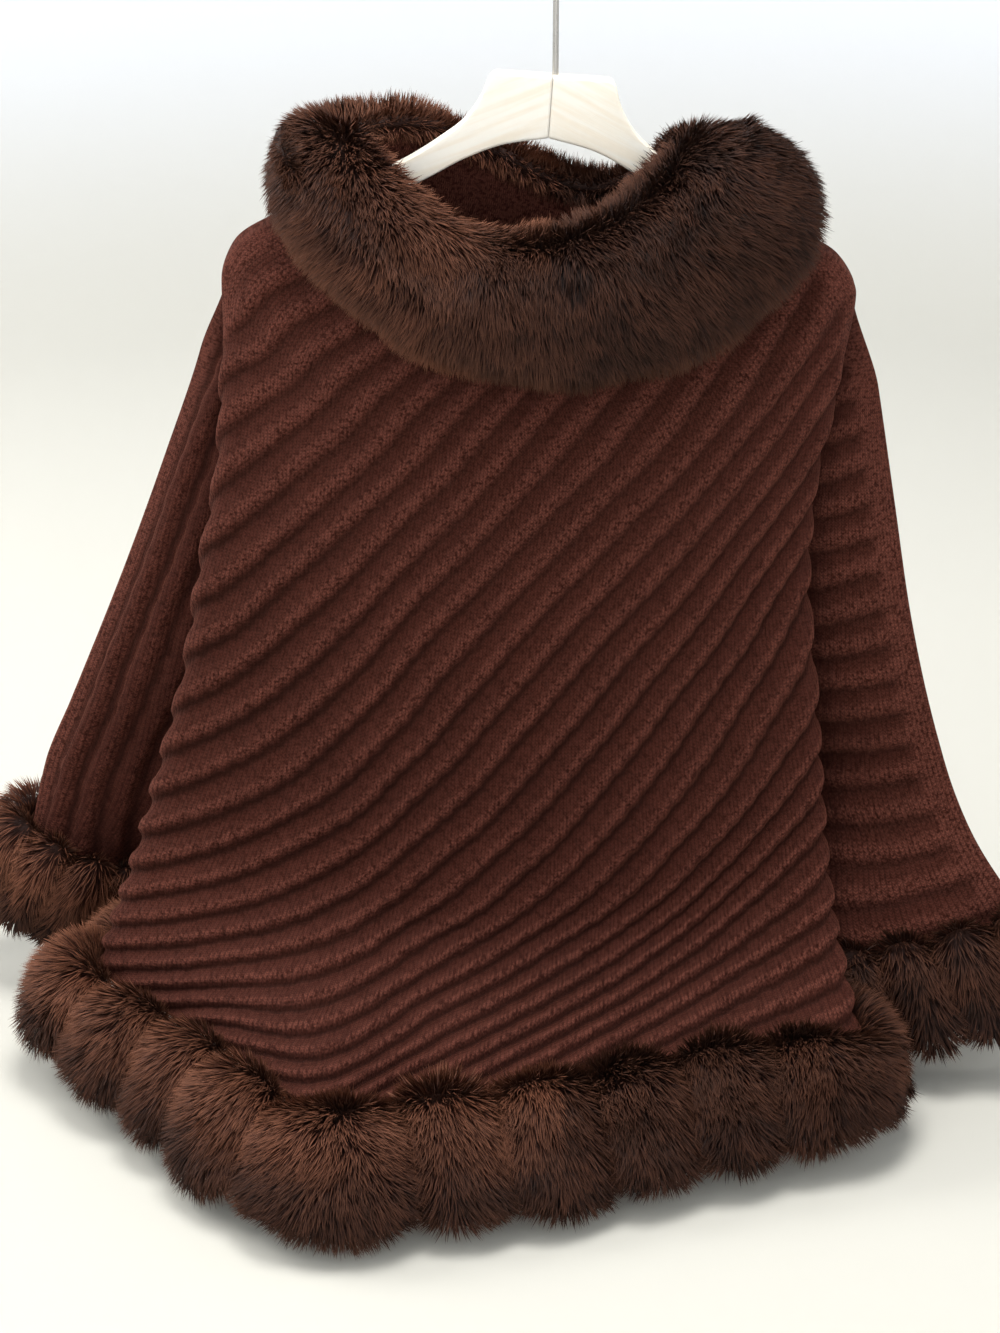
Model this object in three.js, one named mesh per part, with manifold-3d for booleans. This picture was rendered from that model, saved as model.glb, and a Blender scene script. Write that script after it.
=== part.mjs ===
// A knitted batwing poncho with fur collar, cuffs and hem, hanging on a wooden hanger.
// Millimetres, +Z up, X across the garment, -Y to its front; the origin is the inside top of the hook.
import * as THREE from "three";
import Module from "manifold-3d";
import { mergeVertices } from "three/addons/utils/BufferGeometryUtils.js";

// ---------------------------------------------------------------- driving sizes

const SEAM_GAP = 0.3;

const KNIT = {
  wall: 2.4, // plain cloth between the ribs
  ribHeight: 2.6,
  ribPitch: 21.5, // square across the ribs
  pointsPerRib: 3,
  plainBand: 14, // cloth without ribs beside each fold of the body
  bandEase: 14, // over which the ribs die away
};

// rows of the plain inner face, closer where the cloth bends
const BODY_INNER_ROWS = [
  0, 0.03, 0.06, 0.09, 0.12, 0.155, 0.19, 0.215, 0.25, 0.3, 0.38, 0.48, 0.58, 0.67, 0.73, 0.78, 0.83,
  0.88, 0.94, 1,
];
const SLEEVE_INNER_ROWS = [0, 0.05, 0.12, 0.22, 0.34, 0.48, 0.62, 0.75, 0.82, 0.88, 0.94, 1];

// the plain yoke under the collar and over the shoulders, as shares of the cloth length
const PHASE_ABOVE_YOKE = 100; // puts every rib's key past the yoke's rows
const YOKE = { middle: 0.14, sides: 0.25, rows: 6, ribEase: 0.03 };

const FOLD = { at: 0.86, round: 0.05 }; // where the front turns back into the side, in shares of u

const HEM_FOLD = { deep: 40, at: -0.36, wide: 0.18, from: 0.72 }; // the forward bulge of the front's hem
const BACK_FOLDS = { deep: 9, turns: 3.2 }; // soft upright folds over the back
const BACK_NECK = { tilt: 45, until: 0.2 }; // the back's neck edge is higher at the left than at the right

const SLEEVE = { plainBand: 26, acrossSlope: 18, ribEase: 9 };

// half the way from the body into a sleeve
const SIDE_OPENING = { closed: 0.7, half: 12, sleeveExtra: 1.1, besideBody: 3.2 };

// reach is how near the collar's stations come to the seams; clear is its gap to the cloth; the roll
// is shorter at both sides, more so at the right, and thinner there; it rises less above the neck edge
// along the back, and least at the seams
const COLLAR = {
  reach: 0.985,
  clear: 1,
  clearAtSeams: 1.2,
  shorterAtSides: 0.12,
  shorterAtRight: 0.38,
  thinnerAtRight: 0.1,
  riseAtSeams: 0.2,
  riseAtBack: 0.65,
  overEdge: 1.5, // the roll's own gap above the cloth's edge
  leanAtRight: 14, // how far the fullest part of the roll slides down the right shoulder
  fullestOut: 47,
};

const FUR_LOCK = { depth: 0.2, stations: 4, sides: 10 };
const HEM_FUR = { lobe: 58, lift: -2.2, outShare: 0.15 };
const CUFF_FUR = { long: 80, thick: 32, lobes: 8, lift: 10, outShare: 0.5 };

const HANGER = { thick: 12, topZ: -100, roll: -3.9, boreDepth: 24 };
const WIRE = { radius: 1.9, stemX: 1.5, hookRadius: 19, hookTurn: 205, neck: 34, sides: 8 };

const COLOURS = {
  knit: 0x57302a,
  fur: 0x4a332b,
  wood: 0xf2e2c4,
  steel: 0x8d8f92,
};

// ---------------------------------------------------------------- shape tables
// "at" is the share of the cloth length from the neck edge to the hem.

const FRONT_MIDDLE = [
  { at: 0.0, y: -50, z: -200 },
  { at: 0.06, y: -58, z: -234 },
  { at: 0.12, y: -71, z: -266 },
  { at: 0.22, y: -84, z: -320 },
  { at: 0.44, y: -104, z: -440 },
  { at: 0.66, y: -125, z: -559 },
  { at: 0.75, y: -142, z: -602 },
  { at: 0.84, y: -178, z: -626 },
  { at: 0.92, y: -225, z: -638 },
  { at: 1.0, y: -272, z: -646 },
];

const BACK_MIDDLE = [
  { at: 0.0, y: 31, z: -168 },
  { at: 0.06, y: 36, z: -219 },
  { at: 0.12, y: 44, z: -246 },
  { at: 0.22, y: 53, z: -292 },
  { at: 0.5, y: 66, z: -425 },
  { at: 0.8, y: 71, z: -554 },
  { at: 1.0, y: 74, z: -628 },
];

// the line where front and back meet, over the shoulder and down the side of the body
const SEAM_LEFT = [
  { at: 0.0, x: -117, y: 0, z: -138 },
  { at: 0.05, x: -124, y: 0, z: -160 },
  { at: 0.1, x: -146, y: 0, z: -175 },
  { at: 0.15, x: -171, y: 0, z: -187 },
  { at: 0.19, x: -193, y: 0, z: -201 },
  { at: 0.22, x: -202, y: 0, z: -223 },
  { at: 0.3, x: -196, y: 0, z: -266 },
  { at: 0.4, x: -194, y: -2, z: -318 },
  { at: 0.53, x: -203, y: -4, z: -389 },
  { at: 0.65, x: -211, y: -4, z: -452 },
  { at: 0.77, x: -222, y: -2, z: -517 },
  { at: 0.86, x: -226, y: 0, z: -565 },
  { at: 1.0, x: -216, y: 4, z: -632 },
];

const SEAM_RIGHT = [
  { at: 0.0, x: 77, y: 0, z: -144 },
  { at: 0.05, x: 87, y: 0, z: -157 },
  { at: 0.1, x: 112, y: 0, z: -173 },
  { at: 0.15, x: 146, y: 0, z: -194 },
  { at: 0.19, x: 175, y: 0, z: -211 },
  { at: 0.22, x: 186, y: 0, z: -232 },
  { at: 0.3, x: 170, y: 0, z: -284 },
  { at: 0.42, x: 153, y: -2, z: -347 },
  { at: 0.52, x: 149, y: -4, z: -396 },
  { at: 0.66, x: 155, y: -8, z: -471 },
  { at: 0.8, x: 161, y: -14, z: -545 },
  { at: 1.0, x: 150, y: -30, z: -634 },
];

// ribs counted from the collar down the left fold, the middle and the right fold of the front
const RIB_COUNT = [
  { at: 0.14, left: -6.5, middle: 2.3, right: 8.3 },
  { at: 0.4, left: -2.2, middle: 6.7, right: 12 },
  { at: 0.7, left: 2, middle: 11.7, right: 15.4 },
  { at: 0.85, left: 5, middle: 15, right: 18.4 },
  { at: 1.0, left: 9.4, middle: 19.5, right: 23.2 },
];

// the upright folds that bound the front as it hangs
const FRONT_FOLD_LEFT = [
  { at: 0.0, x: -116, y: -9, z: -142 },
  { at: 0.05, x: -123, y: -11, z: -164 },
  { at: 0.1, x: -145, y: -13, z: -179 },
  { at: 0.15, x: -170, y: -14, z: -191 },
  { at: 0.19, x: -191, y: -14, z: -204 },
  { at: 0.22, x: -201, y: -14, z: -224 },
  { at: 0.3, x: -204, y: -28, z: -266 },
  { at: 0.4, x: -207, y: -46, z: -318 },
  { at: 0.53, x: -220, y: -60, z: -389 },
  { at: 0.65, x: -232, y: -75, z: -452 },
  { at: 0.77, x: -251, y: -90, z: -517 },
  { at: 0.86, x: -267, y: -103, z: -565 },
  { at: 0.94, x: -283, y: -114, z: -608 },
  { at: 1.0, x: -293, y: -118, z: -636 },
];

const FRONT_FOLD_RIGHT = [
  { at: 0.0, x: 76, y: -9, z: -148 },
  { at: 0.05, x: 86, y: -11, z: -161 },
  { at: 0.1, x: 111, y: -13, z: -177 },
  { at: 0.15, x: 145, y: -14, z: -198 },
  { at: 0.19, x: 173, y: -14, z: -214 },
  { at: 0.22, x: 186, y: -14, z: -233 },
  { at: 0.3, x: 178, y: -31, z: -284 },
  { at: 0.42, x: 165, y: -46, z: -347 },
  { at: 0.52, x: 162, y: -56, z: -396 },
  { at: 0.66, x: 168, y: -72, z: -471 },
  { at: 0.8, x: 174, y: -92, z: -545 },
  { at: 0.9, x: 180, y: -136, z: -600 },
  { at: 1.0, x: 192, y: -212, z: -640 },
];

const BACK_FOLD_LEFT = [
  { at: 0.0, x: -116, y: 8, z: -142 },
  { at: 0.05, x: -123, y: 10, z: -164 },
  { at: 0.1, x: -145, y: 12, z: -179 },
  { at: 0.15, x: -170, y: 13, z: -191 },
  { at: 0.19, x: -191, y: 13, z: -204 },
  { at: 0.22, x: -201, y: 13, z: -224 },
  { at: 0.3, x: -201, y: 24, z: -266 },
  { at: 0.53, x: -209, y: 40, z: -389 },
  { at: 0.77, x: -226, y: 47, z: -517 },
  { at: 1.0, x: -222, y: 58, z: -626 },
];

const BACK_FOLD_RIGHT = [
  { at: 0.0, x: 76, y: 8, z: -148 },
  { at: 0.05, x: 86, y: 10, z: -161 },
  { at: 0.1, x: 111, y: 12, z: -177 },
  { at: 0.15, x: 145, y: 13, z: -198 },
  { at: 0.19, x: 173, y: 13, z: -214 },
  { at: 0.22, x: 186, y: 13, z: -233 },
  { at: 0.3, x: 176, y: 24, z: -284 },
  { at: 0.52, x: 158, y: 40, z: -396 },
  { at: 0.8, x: 166, y: 44, z: -545 },
  { at: 1.0, x: 158, y: 52, z: -626 },
];

// sleeves: "at" runs from the shoulder tip to the cuff and "seam" along the body's seam; past the
// underarm the inner edge leaves it by off; "full" is how far each layer stands off the middle
const SLEEVE_LEFT = [
  { at: 0.0, outX: -207, outY: 0, outZ: -226, seam: 0.235, offX: 0, offY: 0, offZ: 0, full: 0.5 },
  { at: 0.1, outX: -215, outY: 0, outZ: -262, seam: 0.30, offX: 0, offY: 0, offZ: 0, full: 3 },
  { at: 0.3, outX: -242, outY: 0, outZ: -338, seam: 0.445, offX: 0, offY: 0, offZ: 0, full: 8 },
  { at: 0.5, outX: -272, outY: 0, outZ: -415, seam: 0.595, offX: 0, offY: 0, offZ: 0, full: 12 },
  { at: 0.75, outX: -312, outY: 2, outZ: -509, seam: 0.785, offX: 0, offY: 0, offZ: 0, full: 15 },
  { at: 0.85, outX: -330, outY: 4, outZ: -550, seam: 0.81, offX: -17, offY: 1, offZ: -32, full: 17 },
  { at: 1.0, outX: -342, outY: 6, outZ: -598, seam: 0.81, offX: -66, offY: 4, offZ: -84, full: 17 },
];

const SLEEVE_RIGHT = [
  { at: 0.0, outX: 192, outY: 0, outZ: -236, seam: 0.235, offX: 0, offY: 0, offZ: 0, full: 0.5 },
  { at: 0.1, outX: 202, outY: -4, outZ: -285, seam: 0.30, offX: 0, offY: 0, offZ: 0, full: 3 },
  { at: 0.3, outX: 215, outY: -20, outZ: -362, seam: 0.455, offX: 0, offY: 0, offZ: 0, full: 8 },
  { at: 0.5, outX: 228, outY: -42, outZ: -440, seam: 0.60, offX: 0, offY: 0, offZ: 0, full: 12 },
  { at: 0.75, outX: 251, outY: -66, outZ: -528, seam: 0.80, offX: 0, offY: 0, offZ: 0, full: 15 },
  { at: 0.85, outX: 268, outY: -80, outZ: -568, seam: 0.82, offX: 26, offY: -34, offZ: -36, full: 17 },
  { at: 1.0, outX: 300, outY: -100, outZ: -614, seam: 0.82, offX: 44, offY: -84, offZ: -88, full: 17 },
];

// the collar's section: "up" is above the neck edge, down the cloth if negative; "out" is from the cloth
const COLLAR_SECTION = [
  { up: 4, out: -7 },
  { up: 13, out: -4 },
  { up: 17, out: 8 },
  { up: 13, out: 26 },
  { up: -2, out: 40 },
  { up: -24, out: 47 },
  { up: -48, out: 45 },
  { up: -66, out: 35 },
  { up: -74, out: 18 },
  { up: -70, out: 3 },
  { up: -46, out: 0 },
  { up: -18, out: 0 },
  { up: 1.5, out: 0 },
  { up: 1.5, out: -5 },
];

// how the hem's fur lies: "turn" is its slope below level
const HEM_FUR_FRONT = [
  { at: -1.0, turn: 70, long: 54, thick: 40 },
  { at: -0.9, turn: 58, long: 60, thick: 44 },
  { at: -0.78, turn: 46, long: 72, thick: 46 },
  { at: -0.5, turn: 43, long: 80, thick: 46 },
  { at: -0.3, turn: 41, long: 85, thick: 46 },
  { at: 0.0, turn: 36, long: 92, thick: 46 },
  { at: 0.6, turn: 35, long: 88, thick: 46 },
  { at: 0.8, turn: 44, long: 70, thick: 40 },
  { at: 0.88, turn: 68, long: 54, thick: 32 },
  { at: 1.0, turn: 78, long: 50, thick: 32 },
];

const HEM_FUR_BACK = [
  { at: -1.0, turn: 70, long: 64, thick: 40 },
  { at: 0.0, turn: 64, long: 74, thick: 44 },
  { at: 1.0, turn: 70, long: 64, thick: 36 },
];

// outline of the hanger's left half, from the joint outwards and back; mirrored for the right half
const HANGER_TOP = [
  { x: 0, z: 0 },
  { x: 35, z: 0 },
  { x: 39, z: -6 },
  { x: 42, z: -15 },
  { x: 52, z: -31 },
  { x: 64, z: -41.5 },
  { x: 84, z: -56 },
  { x: 110, z: -71 },
  { x: 143, z: -94 },
  { x: 174, z: -113 },
];
const HANGER_UNDERSIDE = [
  { x: 181, z: -120 },
  { x: 175, z: -127 },
  { x: 143, z: -112 },
  { x: 100, z: -84 },
  { x: 71, z: -67 },
  { x: 50, z: -54 },
  { x: 26, z: -43.5 },
  { x: 0, z: -38 },
];

// ---------------------------------------------------------------- small helpers

const lerp = (a, b, t) => a + (b - a) * t;

const clamp01 = (t) => Math.min(1, Math.max(0, t));

function ease(from, to, value) {
  const t = clamp01((value - from) / (to - from));
  return t * t * (3 - 2 * t);
}

// a slope between two runs that never lets the curve overshoot its rows
const softSlope = (before, after) => (before * after <= 0 ? 0 : (2 * before * after) / (before + after));

// a table's column at any "at", as a cubic through its rows
function read(table, key, at) {
  const last = table.length - 1;
  let i = 0;
  while (i < last - 1 && at > table[i + 1].at) i += 1;
  const a = table[i];
  const b = table[i + 1];
  const span = b.at - a.at;
  const t = (at - a.at) / span;
  const rise = b[key] - a[key];
  const runs = [i - 1, i + 1].map((k) => {
    const from = table[k];
    const to = table[k + 1];
    return from && to ? ((to[key] - from[key]) * span) / (to.at - from.at) : rise;
  });
  const slopeA = softSlope(runs[0], rise);
  const slopeB = softSlope(rise, runs[1]);
  return a[key] + t * (slopeA + t * (3 * rise - 2 * slopeA - slopeB + t * (slopeA + slopeB - 2 * rise)));
}

const readPoint = (table, at) =>
  new THREE.Vector3(read(table, "x", at), read(table, "y", at), read(table, "z", at));

// the unit normal of surface(u, v), on the side that "side" gives
function normalAt(surface, u, v, side) {
  const h = 1e-3;
  const du = surface(u + h, v).sub(surface(u - h, v));
  const dv = surface(u, v + h).sub(surface(u, v - h));
  return du.cross(dv).normalize().multiplyScalar(side);
}

// ---------------------------------------------------------------- closed bodies

// one closed body, its faces turned outwards
function body(points, faces) {
  let volume = 0;
  for (let i = 0; i < faces.length; i += 3) {
    const [a, b, c] = [points[faces[i]], points[faces[i + 1]], points[faces[i + 2]]];
    volume += a.dot(b.clone().cross(c));
  }
  const index = volume > 0 ? faces : faces.toReversed();
  const geometry = new THREE.BufferGeometry();
  const numbers = points.flatMap((p) => [p.x, p.y, p.z]);
  geometry.setAttribute("position", new THREE.Float32BufferAttribute(numbers, 3));
  geometry.setIndex(index);
  geometry.computeVertexNormals();
  return geometry;
}

// a strip of triangles between two rows of { index, key } that may differ in number
function zip(rowA, rowB, faces) {
  let i = 0;
  let j = 0;
  while (i < rowA.length - 1 || j < rowB.length - 1) {
    const moreA = i < rowA.length - 1;
    const moreB = j < rowB.length - 1;
    if (moreA && (!moreB || rowA[i + 1].key <= rowB[j + 1].key)) {
      faces.push(rowA[i].index, rowB[j].index, rowA[i + 1].index);
      i += 1;
    } else {
      faces.push(rowA[i].index, rowB[j].index, rowB[j + 1].index);
      j += 1;
    }
  }
}

// rings of equal count joined into a tube, closed on itself or capped
function tube(rings, closed) {
  const points = rings.flat();
  const sides = rings[0].length;
  const faces = [];
  const joins = closed ? rings.length : rings.length - 1;
  for (let r = 0; r < joins; r += 1) {
    const here = r * sides;
    const next = ((r + 1) % rings.length) * sides;
    for (let s = 0; s < sides; s += 1) {
      const t = (s + 1) % sides;
      faces.push(here + s, next + s, next + t, here + s, next + t, here + t);
    }
  }
  if (!closed) {
    for (const [ring, turned] of [[0, false], [rings.length - 1, true]]) {
      const middle = points.length;
      points.push(rings[ring].reduce((sum, p) => sum.add(p), new THREE.Vector3()).divideScalar(sides));
      for (let s = 0; s < sides; s += 1) {
        const a = ring * sides + s;
        const b = ring * sides + ((s + 1) % sides);
        faces.push(middle, turned ? b : a, turned ? a : b);
      }
    }
  }
  return body(points, faces);
}

const wasm = await Module();
wasm.setup();

function toSolid(geometry) {
  const bare = new THREE.BufferGeometry();
  bare.setAttribute("position", geometry.getAttribute("position"));
  if (geometry.index) bare.setIndex(geometry.index);
  const merged = mergeVertices(bare, 1e-4);
  return new wasm.Manifold(
    new wasm.Mesh({
      numProp: 3,
      vertProperties: new Float32Array(merged.getAttribute("position").array),
      triVerts: new Uint32Array(merged.index.array),
    }),
  );
}

function fromSolid(solid) {
  const { vertProperties, triVerts } = solid.getMesh();
  const geometry = new THREE.BufferGeometry();
  geometry.setAttribute("position", new THREE.Float32BufferAttribute(vertProperties, 3));
  geometry.setIndex(Array.from(triVerts));
  geometry.computeVertexNormals();
  return geometry;
}

// ---------------------------------------------------------------- knitted cloth

// height of the ribs at a phase: a narrow valley between flat crests
const ribShape = (phase) => Math.min(1, 1.5 * (1 - Math.abs(2 * (phase - Math.floor(phase)) - 1)));

// where along "line" (a growing function of v) a value is met, for v from 0 to 1
function meet(line, value) {
  let low = 0;
  let high = 1;
  for (let i = 0; i < 30; i += 1) {
    const middle = (low + high) / 2;
    if (line(middle) < value) low = middle;
    else high = middle;
  }
  return (low + high) / 2;
}

// stops down a column: even rows over the yoke, if any, then one at each turn of a rib
function columnStops(u, line, yokeEnd) {
  const stops = [{ v: 0, key: yokeEnd ? -YOKE.rows : line(0) }];
  for (let k = 1; yokeEnd && k <= YOKE.rows; k += 1) {
    stops.push({ v: (yokeEnd * k) / YOKE.rows, key: k - YOKE.rows });
  }
  const step = 1 / KNIT.pointsPerRib;
  const end = line(1);
  const base = yokeEnd ? PHASE_ABOVE_YOKE : 0;
  for (let k = Math.ceil(line(stops.at(-1).v) / step + 0.3); k * step < end - 0.3 * step; k += 1) {
    stops.push({ v: meet(line, k * step), key: base + k * step });
  }
  stops.push({ v: 1, key: base + end });
  return stops;
}

// a wall of cloth: ribs are raised on its outer face, whose columns have a point at each turn of a
// rib, and the inner face is plain
function knitWall({ surface, side, columns, phase, fade, innerRows, yoke = () => 0 }) {
  const points = [];
  const faces = [];
  const add = (u, v, offset) => {
    const normal = normalAt(surface, u, v, side);
    points.push(surface(u, v).addScaledVector(normal, offset));
    return points.length - 1;
  };
  const outer = columns.map((u) => {
    const line = (v) => phase(u, v);
    return columnStops(u, line, yoke(u)).map(({ v, key }) => {
      const rib = KNIT.ribHeight * ribShape(line(v)) * fade(u, v);
      return { index: add(u, v, KNIT.wall / 2 + rib), key, v };
    });
  });
  const inner = columns.map((u) =>
    innerRows.map((v) => ({ index: add(u, v, -KNIT.wall / 2), key: v })),
  );
  const last = columns.length - 1;
  for (let c = 0; c < last; c += 1) {
    zip(outer[c], outer[c + 1], faces);
    zip(inner[c + 1], inner[c], faces);
  }
  const byShare = (column) => column.map(({ index, v }) => ({ index, key: v }));
  zip(inner[0], byShare(outer[0]), faces);
  zip(byShare(outer[last]), inner[last], faces);
  const edge = (face, pick) => face.map((column, c) => ({ index: column.at(pick).index, key: c }));
  zip(edge(outer, 0), edge(inner, 0), faces);
  zip(edge(inner, -1), edge(outer, -1), faces);
  return body(points, faces);
}

// half the opening between the front's and the back's edges down the side of the body
function sideGap(at) {
  return SIDE_OPENING.closed + SIDE_OPENING.half * ease(0.22, 0.4, at) * (1 - ease(0.7, 0.82, at));
}

// the front or back of the body: u from the left seam to the right, v from the neck edge to the hem
function bodySurface({ middle, foldLeft, foldRight, front, skew, fullness, waves, neckTilt }) {
  const out = front ? -1 : 1;
  const flat = (w, v) => {
    const left = readPoint(foldLeft, v);
    const right = readPoint(foldRight, v);
    const base = left.lerp(right, (w + 1) / 2);
    const centreY = (read(foldLeft, "y", v) + read(foldRight, "y", v)) / 2;
    const centreZ = (read(foldLeft, "z", v) + read(foldRight, "z", v)) / 2;
    const hump = (1 - Math.abs(w) ** fullness(v)) * (1 - skew(v) * w);
    base.y += (read(middle, "y", v) - centreY) * hump + waves(w, v);
    base.z += (read(middle, "z", v) - centreZ) * (1 - Math.abs(w) ** 2.4);
    base.z -= neckTilt * w * (1 - w * w) * (1 - ease(0, BACK_NECK.until, v));
    return base;
  };
  const sharp = (u, v) => {
    const a = Math.abs(u);
    if (a <= FOLD.at) return flat(u / FOLD.at, v);
    const t = (a - FOLD.at) / (1 - FOLD.at);
    const fold = readPoint(u < 0 ? foldLeft : foldRight, v);
    const seam = readPoint(u < 0 ? SEAM_LEFT : SEAM_RIGHT, v);
    seam.y += out * sideGap(v);
    return new THREE.Vector3(
      lerp(seam.x, fold.x, (1 - t) ** 2),
      lerp(fold.y, seam.y, t),
      lerp(fold.z, seam.z, t),
    );
  };
  return (u, v) => {
    const a = Math.abs(u);
    const side = Math.sign(u);
    const s = (a - FOLD.at + FOLD.round) / (2 * FOLD.round);
    if (s <= 0 || s >= 1) return sharp(u, v);
    const from = sharp(side * (FOLD.at - FOLD.round), v);
    const to = sharp(side * (FOLD.at + FOLD.round), v);
    const corner = sharp(side * FOLD.at, v);
    from.multiplyScalar((1 - s) ** 2);
    return from.addScaledVector(corner, 2 * s * (1 - s)).addScaledVector(to, s * s);
  };
}

const BODY_COLUMNS = [
  -1, -0.93, -0.89, -0.86, -0.83, -0.78, -0.68, -0.55, -0.42, -0.28, -0.14,
  0, 0.14, 0.28, 0.42, 0.55, 0.68, 0.78, 0.83, 0.86, 0.89, 0.93, 1,
];

// where the yoke ends and the ribs begin
const yokeEnd = (u) => lerp(YOKE.middle, YOKE.sides, Math.abs(u) ** 4);

// ribs die away beside the folds and under the collar
function bodyFade(surface) {
  return (u, v) => {
    const edge = surface(u < 0 ? -FOLD.at : FOLD.at, v).distanceTo(surface(u, v));
    const inside = Math.abs(u) < FOLD.at ? 1 : 0;
    const beside = ease(KNIT.plainBand, KNIT.plainBand + KNIT.bandEase, edge) * inside;
    return beside * ease(yokeEnd(u), yokeEnd(u) + YOKE.ribEase, v);
  };
}

// rib count at a place of the body, as a parabola across the cloth; "turn" mirrors it for the back
function bodyPhase(turn) {
  return (u, v) => {
    const w = (u / FOLD.at) * turn;
    const left = read(RIB_COUNT, "left", v);
    const middle = read(RIB_COUNT, "middle", v);
    const right = read(RIB_COUNT, "right", v);
    return middle + (w * (right - left)) / 2 + w * w * ((right + left) / 2 - middle);
  };
}

const frontSurface = bodySurface({
  middle: FRONT_MIDDLE,
  foldLeft: FRONT_FOLD_LEFT,
  foldRight: FRONT_FOLD_RIGHT,
  front: true,
  skew: (v) => 0.75 * ease(0.6, 1, v),
  fullness: (v) => lerp(2.4, 1.35, ease(0.6, 1, v)),
  waves: (w, v) => {
    const nearness = Math.exp(-(((w - HEM_FOLD.at) / HEM_FOLD.wide) ** 2));
    return -HEM_FOLD.deep * ease(HEM_FOLD.from, 1, v) * nearness;
  },
  neckTilt: 0,
});

const backSurface = bodySurface({
  middle: BACK_MIDDLE,
  foldLeft: BACK_FOLD_LEFT,
  foldRight: BACK_FOLD_RIGHT,
  front: false,
  skew: () => 0,
  fullness: () => 2.4,
  waves: (w, v) => {
    const deep = BACK_FOLDS.deep * ease(0.2, 1, v) * (1 - w ** 4);
    return deep * Math.cos(BACK_FOLDS.turns * Math.PI * w);
  },
  neckTilt: BACK_NECK.tilt,
});

// a sleeve's front or back layer: u from the inner seam to the overarm seam, v from shoulder to cuff
function sleeveSurface({ table, seam, hand }, front) {
  const out = front ? -1 : 1;
  return (u, v) => {
    const joins = read(table, "seam", v);
    const inner = readPoint(seam, joins);
    inner.x += hand * SIDE_OPENING.besideBody + read(table, "offX", v);
    inner.y += read(table, "offY", v);
    inner.z += read(table, "offZ", v);
    const outer = new THREE.Vector3(read(table, "outX", v), read(table, "outY", v), read(table, "outZ", v));
    const gap = lerp(sideGap(joins) + SIDE_OPENING.sleeveExtra, KNIT.wall / 2 + SEAM_GAP, clamp01(u));
    const point = inner.lerp(outer, u);
    point.y += out * (gap + read(table, "full", v) * Math.sin(Math.PI * clamp01(u)) ** 0.8);
    return point;
  };
}

const LEFT = { table: SLEEVE_LEFT, seam: SEAM_LEFT, hand: -1 };
const RIGHT = { table: SLEEVE_RIGHT, seam: SEAM_RIGHT, hand: 1 };

// ---------------------------------------------------------------- fur

// collar: a thick roll on the outside of the neck, made from the cloth's own points
function collarGeometry() {
  const rings = [];
  const station = (surface, side, u) => {
    const edge = surface(u, 0);
    const down = surface(u, 0.02).sub(edge);
    const perShare = down.length() / 0.02;
    down.normalize();
    const right = Math.max(0, u);
    const long = 1 - COLLAR.shorterAtSides * Math.abs(u) ** 3 - COLLAR.shorterAtRight * right ** 3;
    const thick = 1 - COLLAR.thinnerAtRight * right ** 3;
    const clear = KNIT.wall / 2 + lerp(COLLAR.clear, COLLAR.clearAtSeams, u ** 4);
    const inside = lerp(1, COLLAR.riseAtSeams, u ** 4);
    const rise = lerp(side > 0 ? COLLAR.riseAtBack : 1, COLLAR.riseAtSeams, u ** 4);
    const lean = (COLLAR.leanAtRight * right ** 4) / COLLAR.fullestOut;
    return COLLAR_SECTION.map(({ up, out }) => {
      const straight = up > 0 ? COLLAR.overEdge + (up - COLLAR.overEdge) * rise : up * long;
      const above = straight - lean * Math.max(0, out);
      const v = Math.max(0, -above / perShare);
      const normal = normalAt(surface, u, v, side);
      const point = surface(u, v).addScaledVector(normal, clear + out * (out < 0 ? inside : thick));
      return above > 0 ? point.addScaledVector(down, -above) : point;
    });
  };
  const stations = BODY_COLUMNS.map((u) => (Math.abs(u) < 1 ? u : u * COLLAR.reach));
  stations.forEach((u) => rings.push(station(frontSurface, -1, u)));
  stations.toReversed().forEach((u) => rings.push(station(backSurface, 1, u)));
  return tube(rings, true);
}

// a row of rounded locks along an edge: each station has the edge point, the way on from it and the
// way out of the cloth, and the section is an oval that narrows between the locks
function furRoll(stations, size) {
  return stations.map(({ edge, down, out, lock, long, thick }) => {
    const half = long / 2;
    const full = 1 - FUR_LOCK.depth * (1 - Math.abs(Math.sin(Math.PI * lock)) ** 0.6);
    const centre = edge
      .clone()
      .addScaledVector(down, half - size.lift)
      .addScaledVector(out, thick * size.outShare);
    return Array.from({ length: FUR_LOCK.sides }, (_, k) => {
      const angle = (2 * Math.PI * k) / FUR_LOCK.sides;
      return centre
        .clone()
        .addScaledVector(down, -half * full * Math.cos(angle))
        .addScaledVector(out, (thick / 2) * full * Math.sin(angle));
    });
  });
}

// points along an edge at equal steps of length, "count" of them, as shares of u
function evenSteps(edgeAt, from, to, count) {
  const samples = 200;
  const lengths = [0];
  for (let k = 1; k <= samples; k += 1) {
    const here = edgeAt(lerp(from, to, k / samples));
    const before = edgeAt(lerp(from, to, (k - 1) / samples));
    lengths.push(lengths[k - 1] + here.distanceTo(before));
  }
  const total = lengths[samples];
  const shares = Array.from({ length: count + 1 }, (_, k) => {
    const wanted = (total * k) / count;
    let i = 0;
    while (i < samples - 1 && lengths[i + 1] < wanted) i += 1;
    return lerp(from, to, (i + (wanted - lengths[i]) / (lengths[i + 1] - lengths[i])) / samples);
  });
  return { shares, total };
}

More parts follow.
